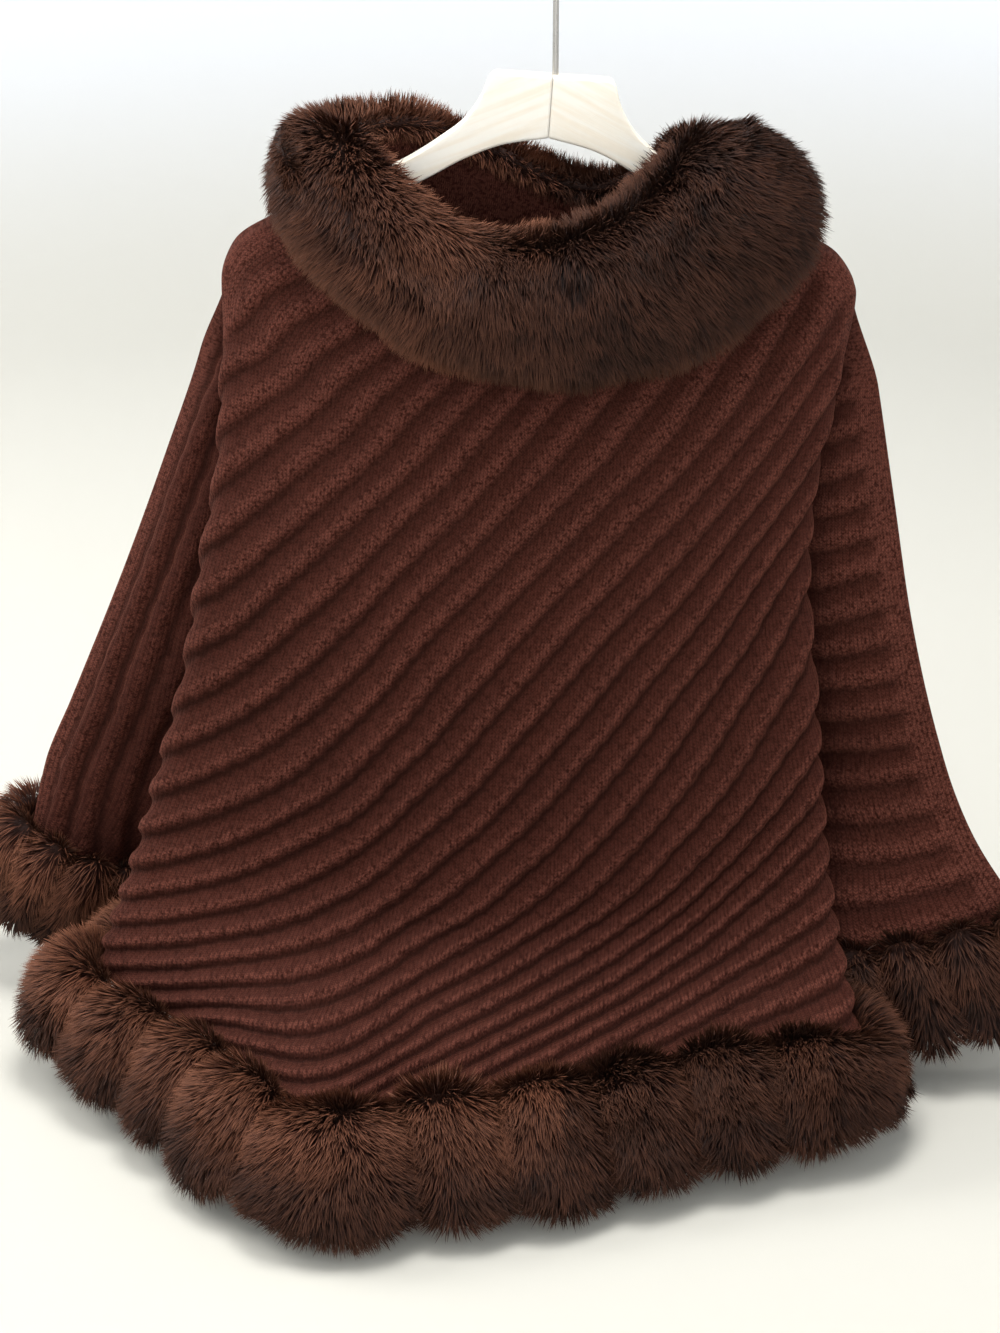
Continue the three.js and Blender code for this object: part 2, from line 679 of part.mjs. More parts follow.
// hem: locks of fur below the hem of the front or the back
function hemFurGeometry(surface, side, lies, reach) {
  const edgeAt = (u) => surface(u, 1);
  const { total } = evenSteps(edgeAt, -reach, reach, 1);
  const locks = Math.round(total / HEM_FUR.lobe);
  const { shares } = evenSteps(edgeAt, -reach, reach, locks * FUR_LOCK.stations);
  const stations = shares.map((u, k) => {
    const along = edgeAt(Math.min(u + 0.01, 1)).sub(edgeAt(Math.max(u - 0.01, -1)));
    const away = new THREE.Vector3(along.y, -along.x, 0).normalize().multiplyScalar(-side);
    const turn = THREE.MathUtils.degToRad(read(lies, "turn", u));
    const down = away.clone().multiplyScalar(Math.cos(turn));
    down.z = -Math.sin(turn);
    const out = away.clone().multiplyScalar(Math.sin(turn));
    out.z = Math.cos(turn);
    return {
      edge: edgeAt(u),
      down,
      out,
      lock: k / FUR_LOCK.stations,
      long: read(lies, "long", u),
      thick: read(lies, "thick", u),
    };
  });
  return tube(furRoll(stations, HEM_FUR), false);
}

// cuff: locks of fur round the end of a sleeve, outside its edge
function cuffFurGeometry(sleeve, outward) {
  const front = sleeveSurface(sleeve, true);
  const back = sleeveSurface(sleeve, false);
  const edgeAt = (t) => (t < 1 ? front(t, 1) : back(2 - t, 1));
  const count = CUFF_FUR.lobes * FUR_LOCK.stations;
  const { shares } = evenSteps(edgeAt, 0, 2, count);
  const axis = front(0.5, 1).add(back(0.5, 1)).sub(front(0.5, 0.9)).sub(back(0.5, 0.9)).normalize();
  const stations = shares.slice(0, count).map((t, k) => {
    const along = edgeAt(Math.min(t + 0.02, 2)).sub(edgeAt(Math.max(t - 0.02, 0)));
    const out = along.cross(axis).multiplyScalar(outward).normalize();
    return {
      edge: edgeAt(t),
      down: axis,
      out,
      lock: k / FUR_LOCK.stations,
      long: CUFF_FUR.long,
      thick: CUFF_FUR.thick,
    };
  });
  return tube(furRoll(stations, CUFF_FUR), true);
}

// ---------------------------------------------------------------- hanger

// half of the wooden hanger, "hand" -1 for the left and 1 for the right, with its share of the bore
function hangerGeometry(hand) {
  const shape = new THREE.Shape();
  const start = SEAM_GAP / 2;
  const outline = [...HANGER_TOP, ...HANGER_UNDERSIDE].map(({ x, z }) => [Math.max(x, start) * hand, z]);
  shape.setFromPoints(outline.map(([x, z]) => new THREE.Vector2(x, z)));
  const wood = new THREE.ExtrudeGeometry(shape, { depth: HANGER.thick, bevelEnabled: false });
  wood.translate(0, 0, -HANGER.thick / 2);
  wood.rotateX(Math.PI / 2);
  wood.rotateY(THREE.MathUtils.degToRad(-HANGER.roll));
  wood.translate(0, 0, HANGER.topZ);
  const boreRadius = WIRE.radius + SEAM_GAP;
  const bore = new THREE.CylinderGeometry(boreRadius, boreRadius, 2 * HANGER.boreDepth, 16);
  bore.rotateX(Math.PI / 2);
  bore.translate(WIRE.stemX, 0, HANGER.topZ);
  return fromSolid(toSolid(wood).subtract(toSolid(bore)));
}

// the steel wire: a straight stem, then a hook whose inside top is the origin
function hookGeometry() {
  const ring = WIRE.hookRadius + WIRE.radius;
  const centreZ = -WIRE.hookRadius;
  const stemFoot = HANGER.topZ - HANGER.boreDepth + 2;
  const neck = new THREE.CubicBezierCurve3(
    new THREE.Vector3(WIRE.stemX, 0, centreZ - WIRE.neck),
    new THREE.Vector3(WIRE.stemX, 0, centreZ - WIRE.neck / 2),
    new THREE.Vector3(ring, 0, centreZ - WIRE.neck / 2),
    new THREE.Vector3(ring, 0, centreZ),
  );
  const centres = [new THREE.Vector3(WIRE.stemX, 0, stemFoot), ...neck.getPoints(10)];
  const arcSteps = 20;
  const arcTurn = THREE.MathUtils.degToRad(WIRE.hookTurn);
  for (let k = 1; k <= arcSteps; k += 1) {
    const angle = (arcTurn * k) / arcSteps;
    centres.push(new THREE.Vector3(ring * Math.cos(angle), 0, centreZ + ring * Math.sin(angle)));
  }
  const last = centres.length - 1;
  const across = new THREE.Vector3(0, 1, 0);
  const rings = centres.map((centre, k) => {
    const tangent = centres[Math.min(k + 1, last)].clone().sub(centres[Math.max(k - 1, 0)]).normalize();
    const outwards = tangent.cross(across);
    return Array.from({ length: WIRE.sides }, (_, s) => {
      const angle = (2 * Math.PI * s) / WIRE.sides;
      return centre
        .clone()
        .addScaledVector(across, WIRE.radius * Math.cos(angle))
        .addScaledVector(outwards, WIRE.radius * Math.sin(angle));
    });
  });
  return tube(rings, false);
}

// ---------------------------------------------------------------- the model

const materials = {
  knit: new THREE.MeshStandardMaterial({ color: COLOURS.knit, roughness: 0.95, metalness: 0 }),
  fur: new THREE.MeshStandardMaterial({ color: COLOURS.fur, roughness: 0.9, metalness: 0 }),
  wood: new THREE.MeshStandardMaterial({ color: COLOURS.wood, roughness: 0.5, metalness: 0 }),
  steel: new THREE.MeshStandardMaterial({ color: COLOURS.steel, roughness: 0.3, metalness: 1 }),
};

const poncho = new THREE.Group();

function place(name, geometry, material) {
  const mesh = new THREE.Mesh(geometry, material);
  mesh.name = name;
  poncho.add(mesh);
}

place("front", knitWall({
  surface: frontSurface,
  side: -1,
  columns: BODY_COLUMNS,
  phase: bodyPhase(1),
  fade: bodyFade(frontSurface),
  innerRows: BODY_INNER_ROWS,
  yoke: yokeEnd,
}), materials.knit);

place("back", knitWall({
  surface: backSurface,
  side: 1,
  columns: BODY_COLUMNS,
  phase: bodyPhase(-1),
  fade: bodyFade(backSurface),
  innerRows: BODY_INNER_ROWS,
  yoke: yokeEnd,
}), materials.knit);

place("collar_fur", collarGeometry(), materials.fur);

const SLEEVE_RINGS = [0, 0.05, 0.12, 0.2, 0.3, 0.4, 0.5, 0.6, 0.7, 0.8, 0.85, 0.9, 0.95, 1];
const SLEEVE_COLUMNS = [0, 0.06, 0.16, 0.36, 0.58, 0.78, 0.9, 0.96, 1];

// ribs along a sleeve, counted from its overarm seam; the rings are the wall's columns
function ribsAlong(name, sleeve, front, side) {
  const surface = sleeveSurface(sleeve, front);
  const turned = (v, u) => surface(1 - u, v);
  const band = SLEEVE.plainBand;
  const half = SLEEVE.ribEase / 2;
  const fromOuter = (v, u) => turned(v, u).distanceTo(turned(v, 0));
  const fromInner = (v, u) => turned(v, u).distanceTo(turned(v, 1));
  place(name, knitWall({
    surface: turned,
    side,
    columns: SLEEVE_RINGS,
    phase: (v, u) => (fromOuter(v, u) - band) / KNIT.ribPitch,
    fade: (v, u) => {
      const pastBand = ease(band - half, band + half, fromOuter(v, u));
      return pastBand * ease(0, SLEEVE.ribEase, fromInner(v, u));
    },
    innerRows: [0, 0.1, 0.3, 0.5, 0.7, 0.9, 1],
  }), materials.knit);
}

// ribs across a sleeve, rising outwards; the wall's columns run down the sleeve
function ribsAcross(name, sleeve, front, side, rise) {
  const surface = sleeveSurface(sleeve, front);
  const slope = THREE.MathUtils.degToRad(SLEEVE.acrossSlope);
  place(name, knitWall({
    surface,
    side,
    columns: SLEEVE_COLUMNS,
    phase: (u, v) => {
      const point = surface(u, v);
      return (-point.z * Math.cos(slope) + rise * point.x * Math.sin(slope)) / KNIT.ribPitch;
    },
    fade: (u, v) => {
      const fromOuter = surface(u, v).distanceTo(surface(1, v));
      const fromInner = surface(u, v).distanceTo(surface(0, v));
      return ease(2, 2 + SLEEVE.ribEase, Math.min(fromOuter, fromInner)) * ease(0, 0.04, v);
    },
    innerRows: SLEEVE_INNER_ROWS,
  }), materials.knit);
}

ribsAlong("sleeve_left_front", LEFT, true, 1);
ribsAcross("sleeve_left_back", LEFT, false, -1, -1);
ribsAcross("sleeve_right_front", RIGHT, true, -1, 1);
ribsAlong("sleeve_right_back", RIGHT, false, 1);

place("cuff_fur_left", cuffFurGeometry(LEFT, 1), materials.fur);
place("cuff_fur_right", cuffFurGeometry(RIGHT, -1), materials.fur);
place("hem_fur_front", hemFurGeometry(frontSurface, -1, HEM_FUR_FRONT, 0.99), materials.fur);
place("hem_fur_back", hemFurGeometry(backSurface, 1, HEM_FUR_BACK, 0.99), materials.fur);
place("hanger_left", hangerGeometry(-1), materials.wood);
place("hanger_right", hangerGeometry(1), materials.wood);
place("hook", hookGeometry(), materials.steel);

export default poncho;
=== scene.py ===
"""A ribbed knit batwing poncho with fur trim on a wooden hanger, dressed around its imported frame.

Shapes are tables of named sizes in millimetres, worked out as whole numpy arrays and put into meshes in
metres. The cloth's coordinates are u, across a panel, and v, down it from 0 to 1.
"""

from __future__ import annotations

import logging
import math
from dataclasses import dataclass, field
from enum import Enum
from typing import Callable

import bpy
import numpy as np
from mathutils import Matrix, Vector


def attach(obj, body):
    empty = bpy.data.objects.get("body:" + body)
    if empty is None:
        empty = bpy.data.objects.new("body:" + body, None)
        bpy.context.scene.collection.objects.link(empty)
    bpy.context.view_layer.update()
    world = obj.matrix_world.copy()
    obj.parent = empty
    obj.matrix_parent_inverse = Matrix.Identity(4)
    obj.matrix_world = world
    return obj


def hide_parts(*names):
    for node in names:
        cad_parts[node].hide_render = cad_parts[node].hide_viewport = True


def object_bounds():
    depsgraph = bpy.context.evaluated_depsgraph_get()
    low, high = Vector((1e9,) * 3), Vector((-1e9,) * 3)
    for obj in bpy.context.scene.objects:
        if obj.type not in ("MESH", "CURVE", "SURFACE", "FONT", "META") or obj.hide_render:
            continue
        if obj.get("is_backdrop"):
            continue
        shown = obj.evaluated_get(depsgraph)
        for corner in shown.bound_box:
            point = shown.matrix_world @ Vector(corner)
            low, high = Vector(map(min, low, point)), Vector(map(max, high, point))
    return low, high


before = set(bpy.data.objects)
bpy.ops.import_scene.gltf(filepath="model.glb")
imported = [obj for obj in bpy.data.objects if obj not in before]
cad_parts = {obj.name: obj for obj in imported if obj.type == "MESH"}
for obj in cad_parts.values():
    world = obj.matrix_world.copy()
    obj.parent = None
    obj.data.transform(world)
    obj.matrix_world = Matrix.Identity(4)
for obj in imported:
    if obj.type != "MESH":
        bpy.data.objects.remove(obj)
CAD_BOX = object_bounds()

LOG = logging.getLogger("poncho")
MM = 0.001
BODY = "root"

Array = np.ndarray
Field = Callable[[Array, Array], Array]


# ---------------------------------------------------------------- number helpers


def lerp(a: Array | float, b: Array | float, t: Array | float) -> Array:
    """The value a share t of the way from a to b."""
    return a + (b - a) * t


def ease(start: Array | float, end: Array | float, value: Array) -> Array:
    """A smooth step from 0 at start to 1 at end: 3t squared less 2t cubed.

    Args:
        start: where the step leaves 0.
        end: where it reaches 1.
        value: the numbers to step.

    Returns:
        The stepped numbers.
    """
    t = np.clip((value - start) / (end - start), 0.0, 1.0)
    return t * t * (3.0 - 2.0 * t)


def bell(value: Array, middle: float, width: float) -> Array:
    """A bell curve: 1 at the middle, falling off over the width."""
    return np.exp(-(((value - middle) / width) ** 2))


def unit(vectors: Array) -> Array:
    """Vectors of length one along the last axis."""
    length = np.linalg.norm(vectors, axis=-1, keepdims=True)
    return vectors / np.maximum(length, 1e-12)


def grid_steps(points: Array, closed: tuple[bool, bool]) -> list[Array]:
    """The ways along a grid's rows and columns, as central differences.

    Args:
        points: the grid, rows by columns by 3.
        closed: whether the rows and the columns join up with themselves.

    Returns:
        For each of the two ways, one vector for each point.
    """
    return [
        np.roll(points, -1, axis) - np.roll(points, 1, axis) if joined else np.gradient(points, axis=axis)
        for axis, joined in enumerate(closed)
    ]


def step_lengths(points: Array) -> Array:
    """The distances between the points of a line."""
    return np.linalg.norm(np.diff(points, axis=0), axis=-1)


def outer_normals(points: Array, closed: tuple[bool, bool]) -> tuple[Array, bool]:
    """Unit normals of a roll that point away from the middles of its sections.

    Args:
        points: the roll's grid, a section in each row.
        closed: whether the rows and the columns join up with themselves.

    Returns:
        The normals, and whether they are turned against the grid's own.
    """
    normals = unit(np.cross(*grid_steps(points, closed)))
    away = points - points.mean(axis=1, keepdims=True)
    turned = bool((normals * away).sum() < 0.0)
    return (-normals if turned else normals), turned


class Table:
    """Rows of named columns, read as monotone cubics that never pass their rows."""

    def __init__(self, columns: str, *rows: tuple[float, ...]) -> None:
        """Keeps the rows under their column names; the first column is the place."""
        values = np.array(rows, dtype=float)
        self.columns = {name: values[:, k] for k, name in enumerate(columns.split())}
        self.at = values[:, 0]

    def read(self, name: str, at: Array | float) -> Array:
        """One column at any places.

        The slope at a row is the harmonic mean of the runs beside it, and 0 where they disagree in sign.

        Args:
            name: the column.
            at: the places.

        Returns:
            The column's values there.
        """
        at = np.asarray(at, dtype=float)
        y = self.columns[name]
        runs = np.diff(y) / np.diff(self.at)
        before = np.concatenate([runs[:1], runs])
        after = np.concatenate([runs, runs[-1:]])
        total = np.where(before + after == 0.0, 1.0, before + after)
        slopes = np.where(before * after > 0.0, 2.0 * before * after / total, 0.0)
        slopes[0], slopes[-1] = runs[0], runs[-1]
        i = np.searchsorted(self.at[1:-1], at, side="left")
        span = self.at[i + 1] - self.at[i]
        t = (at - self.at[i]) / span
        rise = y[i + 1] - y[i]
        a = slopes[i] * span
        b = slopes[i + 1] * span
        return y[i] + t * (a + t * (3.0 * rise - 2.0 * a - b + t * (a + b - 2.0 * rise)))

    def straight(self, name: str, at: Array) -> Array:
        """One column at any places, with straight lines between its rows."""
        return np.interp(at, self.at, self.columns[name])

    def point(self, at: Array | float, before: str = "") -> Array:
        """The columns x, y and z at any places, as points; their names may start with a word."""
        return np.stack([self.read(before + axis, at) for axis in "xyz"], axis=-1)


class Noise:
    """Smooth noise from -1 to 1 on a repeating lattice of random numbers."""

    CELLS = 32

    def __init__(self, seed: int) -> None:
        """Draws the lattice."""
        self.lattice = np.random.default_rng(seed).uniform(-1.0, 1.0, (self.CELLS,) * 3)

    def at(self, points: Array, size: float) -> Array:
        """Noise whose lumps are about "size" wide: eased blends of the eight lattice corners.

        Args:
            points: places, in any unit, with x, y and z on the last axis.
            size: the lattice's step, in the same unit.

        Returns:
            One number for each point.
        """
        cell = points / size
        low = np.floor(cell).astype(int)
        t = cell - low
        t = t * t * (3.0 - 2.0 * t)
        value = np.zeros(points.shape[:-1])
        for corner in np.ndindex(2, 2, 2):
            weight = np.ones(points.shape[:-1])
            index = []
            for axis, step in enumerate(corner):
                weight = weight * (t[..., axis] if step else 1.0 - t[..., axis])
                index.append((low[..., axis] + step) % self.CELLS)
            value += weight * self.lattice[tuple(index)]
        return value


# ---------------------------------------------------------------- meshes


@dataclass
class MeshParts:
    """Vertices and faces gathered for one mesh, with a UV pair for each vertex."""

    points: list[Array] = field(default_factory=list)
    uvs: list[Array] = field(default_factory=list)
    normals: list[Array] = field(default_factory=list)
    loops: list[Array] = field(default_factory=list)
    sizes: list[Array] = field(default_factory=list)
    count: int = 0

    def add_points(self, points: Array, uv: Array, normals: Array) -> int:
        """Adds vertices.

        Args:
            points: places in metres, n by 3.
            uv: UV pairs, n by 2.
            normals: shading normals, n by 3.

        Returns:
            The number of the first one.
        """
        first = self.count
        self.points.append(points.reshape(-1, 3))
        self.uvs.append(uv.reshape(-1, 2))
        self.normals.append(normals.reshape(-1, 3))
        self.count += len(self.points[-1])
        return first

    def add_faces(self, faces: Array) -> None:
        """Adds faces of one size, as rows of vertex numbers."""
        self.loops.append(faces.reshape(-1))
        self.sizes.append(np.full(len(faces), faces.shape[1]))

    def add_grid(self, first: int, rows: int, columns: int, closed: tuple[bool, bool], flip: bool) -> None:
        """Adds the four-sided faces of a grid of vertices.

        Args:
            first: the grid's first vertex.
            rows: its number of rows.
            columns: its number of columns.
            closed: whether rows and columns join up with themselves.
            flip: turns the faces over.
        """
        i = np.arange(rows if closed[0] else rows - 1)[:, None]
        j = np.arange(columns if closed[1] else columns - 1)[None, :]
        i2 = (i + 1) % rows
        j2 = (j + 1) % columns
        corners = [i * columns + j, i2 * columns + j, i2 * columns + j2, i * columns + j2]
        faces = np.stack([np.broadcast_to(c, (i.size, j.size)) for c in corners], axis=-1)
        faces = faces.reshape(-1, 4) + first
        self.add_faces(faces[:, ::-1] if flip else faces)

    def add_roll(self, points: Array, uv: Array, ring: bool) -> None:
        """Adds a closed roll: sections joined into a tube, which ends in flat faces or meets itself.

        Args:
            points: the sections in metres, one in each row.
            uv: a UV pair for each point.
            ring: whether the last section joins the first.
        """
        normals, turned = outer_normals(points, (ring, True))
        rows, columns = points.shape[:2]
        first = self.add_points(points, uv, normals)
        self.add_grid(first, rows, columns, (ring, True), turned)
        if ring:
            return
        loop = first + np.arange(columns)
        for row, reverse in ((0, turned), (rows - 1, not turned)):
            face = (loop + row * columns)[None, :]
            self.add_faces(face[:, ::-1] if reverse else face)

    def build(self, name: str, smooth_normals: bool = False) -> bpy.types.Object:
        """Makes the object.

        Args:
            name: the object's name.
            smooth_normals: uses the normals given with the vertices, not those of the faces.

        Returns:
            The new object, linked to the scene.
        """
        points = np.concatenate(self.points).astype(np.float32)
        loops = np.concatenate(self.loops).astype(np.int32)
        sizes = np.concatenate(self.sizes).astype(np.int32)
        starts = np.concatenate([[0], np.cumsum(sizes)[:-1]]).astype(np.int32)
        mesh = bpy.data.meshes.new(name)
        mesh.vertices.add(len(points))
        mesh.vertices.foreach_set("co", points.ravel())
        mesh.loops.add(len(loops))
        mesh.loops.foreach_set("vertex_index", loops)
        mesh.polygons.add(len(sizes))
        mesh.polygons.foreach_set("loop_start", starts)
        mesh.polygons.foreach_set("loop_total", sizes)
        mesh.polygons.foreach_set("use_smooth", np.ones(len(sizes), dtype=bool))
        layer = mesh.uv_layers.new(name="UVMap")
        uv = np.concatenate(self.uvs).astype(np.float32)[loops]
        layer.data.foreach_set("uv", uv.ravel())
        mesh.update(calc_edges=True)
        mesh.validate()
        if smooth_normals:
            mesh.normals_split_custom_set_from_vertices(np.concatenate(self.normals).tolist())
        piece = bpy.data.objects.new(name, mesh)
        bpy.context.scene.collection.objects.link(piece)
        return piece


# ---------------------------------------------------------------- the garment's cut, as it hangs

FRONT_MIDDLE = Table(
    "at y z",
    (0.0, -50, -200), (0.06, -58, -234), (0.12, -71, -266), (0.22, -84, -320), (0.44, -104, -440),
    (0.66, -125, -559), (0.75, -142, -602), (0.84, -178, -626), (0.92, -225, -638), (1.0, -272, -646),
)
BACK_MIDDLE = Table(
    "at y z",
    (0.0, 31, -168), (0.06, 36, -219), (0.12, 44, -246), (0.22, 53, -292), (0.5, 66, -425),
    (0.8, 71, -554), (1.0, 74, -628),
)
SEAM_LEFT = Table(
    "at x y z",
    (0.0, -117, 0, -138), (0.05, -124, 0, -160), (0.1, -146, 0, -175), (0.15, -171, 0, -187),
    (0.19, -193, 0, -201), (0.22, -202, 0, -223), (0.3, -196, 0, -266), (0.4, -194, -2, -318),
    (0.53, -203, -4, -389), (0.65, -211, -4, -452), (0.77, -222, -2, -517), (0.86, -226, 0, -565),
    (1.0, -216, 4, -632),
)
SEAM_RIGHT = Table(
    "at x y z",
    (0.0, 77, 0, -144), (0.05, 87, 0, -157), (0.1, 112, 0, -173), (0.15, 146, 0, -194),
    (0.19, 175, 0, -211), (0.22, 186, 0, -232), (0.3, 170, 0, -284), (0.42, 153, -2, -347),
    (0.52, 149, -4, -396), (0.66, 155, -8, -471), (0.8, 161, -14, -545), (1.0, 150, -30, -634),
)
FRONT_FOLD_LEFT = Table(
    "at x y z",
    (0.0, -116, -9, -142), (0.05, -123, -11, -164), (0.1, -145, -13, -179), (0.15, -170, -14, -191),
    (0.19, -191, -14, -204), (0.22, -201, -14, -224), (0.3, -204, -28, -266), (0.4, -207, -46, -318),
    (0.53, -220, -60, -389), (0.65, -232, -75, -452), (0.77, -251, -90, -517), (0.86, -267, -103, -565),
    (0.94, -283, -114, -608), (1.0, -293, -118, -636),
)
FRONT_FOLD_RIGHT = Table(
    "at x y z",
    (0.0, 76, -9, -148), (0.05, 86, -11, -161), (0.1, 111, -13, -177), (0.15, 145, -14, -198),
    (0.19, 173, -14, -214), (0.22, 186, -14, -233), (0.3, 178, -31, -284), (0.42, 165, -46, -347),
    (0.52, 162, -56, -396), (0.66, 168, -72, -471), (0.8, 174, -92, -545), (0.9, 180, -136, -600),
    (1.0, 192, -212, -640),
)
BACK_FOLD_LEFT = Table(
    "at x y z",
    (0.0, -116, 8, -142), (0.05, -123, 10, -164), (0.1, -145, 12, -179), (0.15, -170, 13, -191),
    (0.19, -191, 13, -204), (0.22, -201, 13, -224), (0.3, -201, 24, -266), (0.53, -209, 40, -389),
    (0.77, -226, 47, -517), (1.0, -222, 58, -626),
)
BACK_FOLD_RIGHT = Table(
    "at x y z",
    (0.0, 76, 8, -148), (0.05, 86, 10, -161), (0.1, 111, 12, -177), (0.15, 145, 13, -198),
    (0.19, 173, 13, -214), (0.22, 186, 13, -233), (0.3, 176, 24, -284), (0.52, 158, 40, -396),
    (0.8, 166, 44, -545), (1.0, 158, 52, -626),
)
SLEEVE_LEFT = Table(
    "at outx outy outz seam offx offy offz full",
    (0.0, -207, 0, -226, 0.235, 0, 0, 0, 0.5), (0.1, -215, 0, -262, 0.30, 0, 0, 0, 3),
    (0.3, -242, 0, -338, 0.445, 0, 0, 0, 8), (0.5, -272, 0, -415, 0.595, 0, 0, 0, 12),
    (0.75, -312, 2, -509, 0.785, 0, 0, 0, 15), (0.85, -330, 4, -550, 0.81, -17, 1, -32, 17),
    (1.0, -342, 6, -598, 0.81, -66, 4, -84, 17),
)
SLEEVE_RIGHT = Table(
    "at outx outy outz seam offx offy offz full",
    (0.0, 192, 0, -236, 0.235, 0, 0, 0, 0.5), (0.1, 202, -4, -285, 0.30, 0, 0, 0, 3),
    (0.3, 215, -20, -362, 0.455, 0, 0, 0, 8), (0.5, 228, -42, -440, 0.60, 0, 0, 0, 12),
    (0.75, 251, -66, -528, 0.80, 0, 0, 0, 15), (0.85, 268, -80, -568, 0.82, 26, -34, -36, 17),
    (1.0, 300, -100, -614, 0.82, 44, -84, -88, 17),
)
# ribs counted from the collar down the left fold, the middle and the right fold of the front
RIB_COUNT = Table(
    "at left middle right",
    (0.0, -7, -1, -0.5), (0.1, -6.6, 1.1, 3.6), (0.2, -6.3, 3.3, 7.7), (0.3, -4.7, 5, 10),
    (0.4, -3, 6.7, 11.6), (0.55, -0.6, 9, 14.2), (0.7, 1.9, 11.7, 16.4), (0.85, 5, 15, 19.8),
    (1.0, 9.4, 19.5, 24.6),
)


# ---------------------------------------------------------------- surfaces of the cloth

SEAM_GAP = 0.3
WALL = 2.4
FOLD_AT = 0.86
FOLD_ROUND = 0.05
OPENING_CLOSED = 0.7
OPENING_HALF = 12.0
SLEEVE_EXTRA = 1.1
BESIDE_BODY = 3.2
NECK_TILT = 45.0  # tips the back's neck edge, up at the left and down at the right
FULLNESS = 2.4  # the power of w in the panels' fullness; a higher one is flatter across the middle
HEM_FULLNESS = 1.35  # the same at the front's hem
HEM_BULGE = 40.0
BACK_FOLDS = 9.0


class Side(Enum):
    """Which way a layer of cloth faces: -1 to the front, 1 to the back."""

    FRONT = -1
    BACK = 1


class Surface:
    """A sheet's middle surface, as points of u and v in millimetres."""

    outward = 1.0
    STEP = 1e-3

    def points(self, u: Array, v: Array) -> Array:
        """Points of the surface."""
        raise NotImplementedError

    def normals(self, u: Array, v: Array) -> Array:
        """Unit normals on the outer side: the cross product of the steps along u and v."""
        du = self.points(u + self.STEP, v) - self.points(u - self.STEP, v)
        dv = self.points(u, v + self.STEP) - self.points(u, v - self.STEP)
        return unit(np.cross(du, dv)) * self.outward


def side_gap(at: Array) -> Array:
    """Half the opening between the front's and the back's edges down the side of the body."""
    return OPENING_CLOSED + OPENING_HALF * ease(0.22, 0.4, at) * (1.0 - ease(0.7, 0.82, at))


@dataclass
class BodySurface(Surface):
    """The front or back of the body: u runs from the left seam to the right, from -1 to 1."""

    side: Side

    def __post_init__(self) -> None:
        """Chooses the side's own tables."""
        front = self.side is Side.FRONT
        self.outward = float(self.side.value)
        self.middle = FRONT_MIDDLE if front else BACK_MIDDLE
        self.fold_left = FRONT_FOLD_LEFT if front else BACK_FOLD_LEFT
        self.fold_right = FRONT_FOLD_RIGHT if front else BACK_FOLD_RIGHT

    def hump(self, w: Array, v: Array) -> Array:
        """How full the cloth stands across its width: 1 less a power of w, leaning to the left."""
        if self.side is Side.BACK:
            return 1.0 - np.abs(w) ** FULLNESS
        low = ease(0.6, 1.0, v)
        return (1.0 - np.abs(w) ** lerp(FULLNESS, HEM_FULLNESS, low)) * (1.0 - 0.75 * low * w)

    def waves(self, w: Array, v: Array) -> Array:
        """Folds: one forward bulge at the front's hem, and soft upright folds over the back."""
        if self.side is Side.FRONT:
            return -HEM_BULGE * ease(0.72, 1.0, v) * bell(w, -0.36, 0.18)
        return BACK_FOLDS * ease(0.2, 1.0, v) * np.cos(3.2 * np.pi * w) * (1.0 - w**4)

    def flat(self, w: Array, v: Array) -> Array:
        """The panel between its folds: a straight line from fold to fold, filled out by the hump."""
        left = self.fold_left.point(v)
        right = self.fold_right.point(v)
        base = lerp(left, right, ((w + 1.0) / 2.0)[..., None])
        centre = (left + right) / 2.0
        base[..., 1] += (self.middle.read("y", v) - centre[..., 1]) * self.hump(w, v) + self.waves(w, v)
        base[..., 2] += (self.middle.read("z", v) - centre[..., 2]) * (1.0 - np.abs(w) ** FULLNESS)
        if self.side is Side.BACK:
            base[..., 2] -= NECK_TILT * w * (1.0 - w * w) * (1.0 - ease(0.0, 0.2, v))
        return base

    def sharp(self, u: Array, v: Array) -> Array:
        """The panel and its side returns, with a sharp fold between them."""
        panel = self.flat(np.clip(u / FOLD_AT, -1.0, 1.0), v)
        t = (np.abs(u) - FOLD_AT) / (1.0 - FOLD_AT)
        left = (u < 0)[..., None]
        fold = np.where(left, self.fold_left.point(v), self.fold_right.point(v))
        seam = np.where(left, SEAM_LEFT.point(v), SEAM_RIGHT.point(v))
        back = np.stack(
            [
                lerp(seam[..., 0], fold[..., 0], (1.0 - t) ** 2),
                lerp(fold[..., 1], seam[..., 1] + self.outward * side_gap(v), t),
                lerp(fold[..., 2], seam[..., 2], t),
            ],
            axis=-1,
        )
        return np.where((t > 0.0)[..., None], back, panel)

    def points(self, u: Array, v: Array) -> Array:
        """The panel with its folds rounded by a curve through three points."""
        u, v = np.broadcast_arrays(u, v)
        s = (np.abs(u) - FOLD_AT + FOLD_ROUND) / (2.0 * FOLD_ROUND)
        side = np.sign(u)
        start = self.sharp(side * (FOLD_AT - FOLD_ROUND), v)
        end = self.sharp(side * (FOLD_AT + FOLD_ROUND), v)
        corner = self.sharp(side * FOLD_AT, v)
        c = np.clip(s, 0.0, 1.0)[..., None]
        bend = start * (1.0 - c) ** 2 + corner * 2.0 * c * (1.0 - c) + end * c * c
        return np.where(((s <= 0.0) | (s >= 1.0))[..., None], self.sharp(u, v), bend)


@dataclass(frozen=True)
class Sleeve:
    """A sleeve: its sizes, the body seam that it leaves, and its hand, -1 for left and 1 for right."""

    table: Table
    seam: Table
    hand: float
    reach_in: float  # how far the cuff reaches behind the body
    tuck: float = 7.0  # how far the top is tucked in behind the body's fold


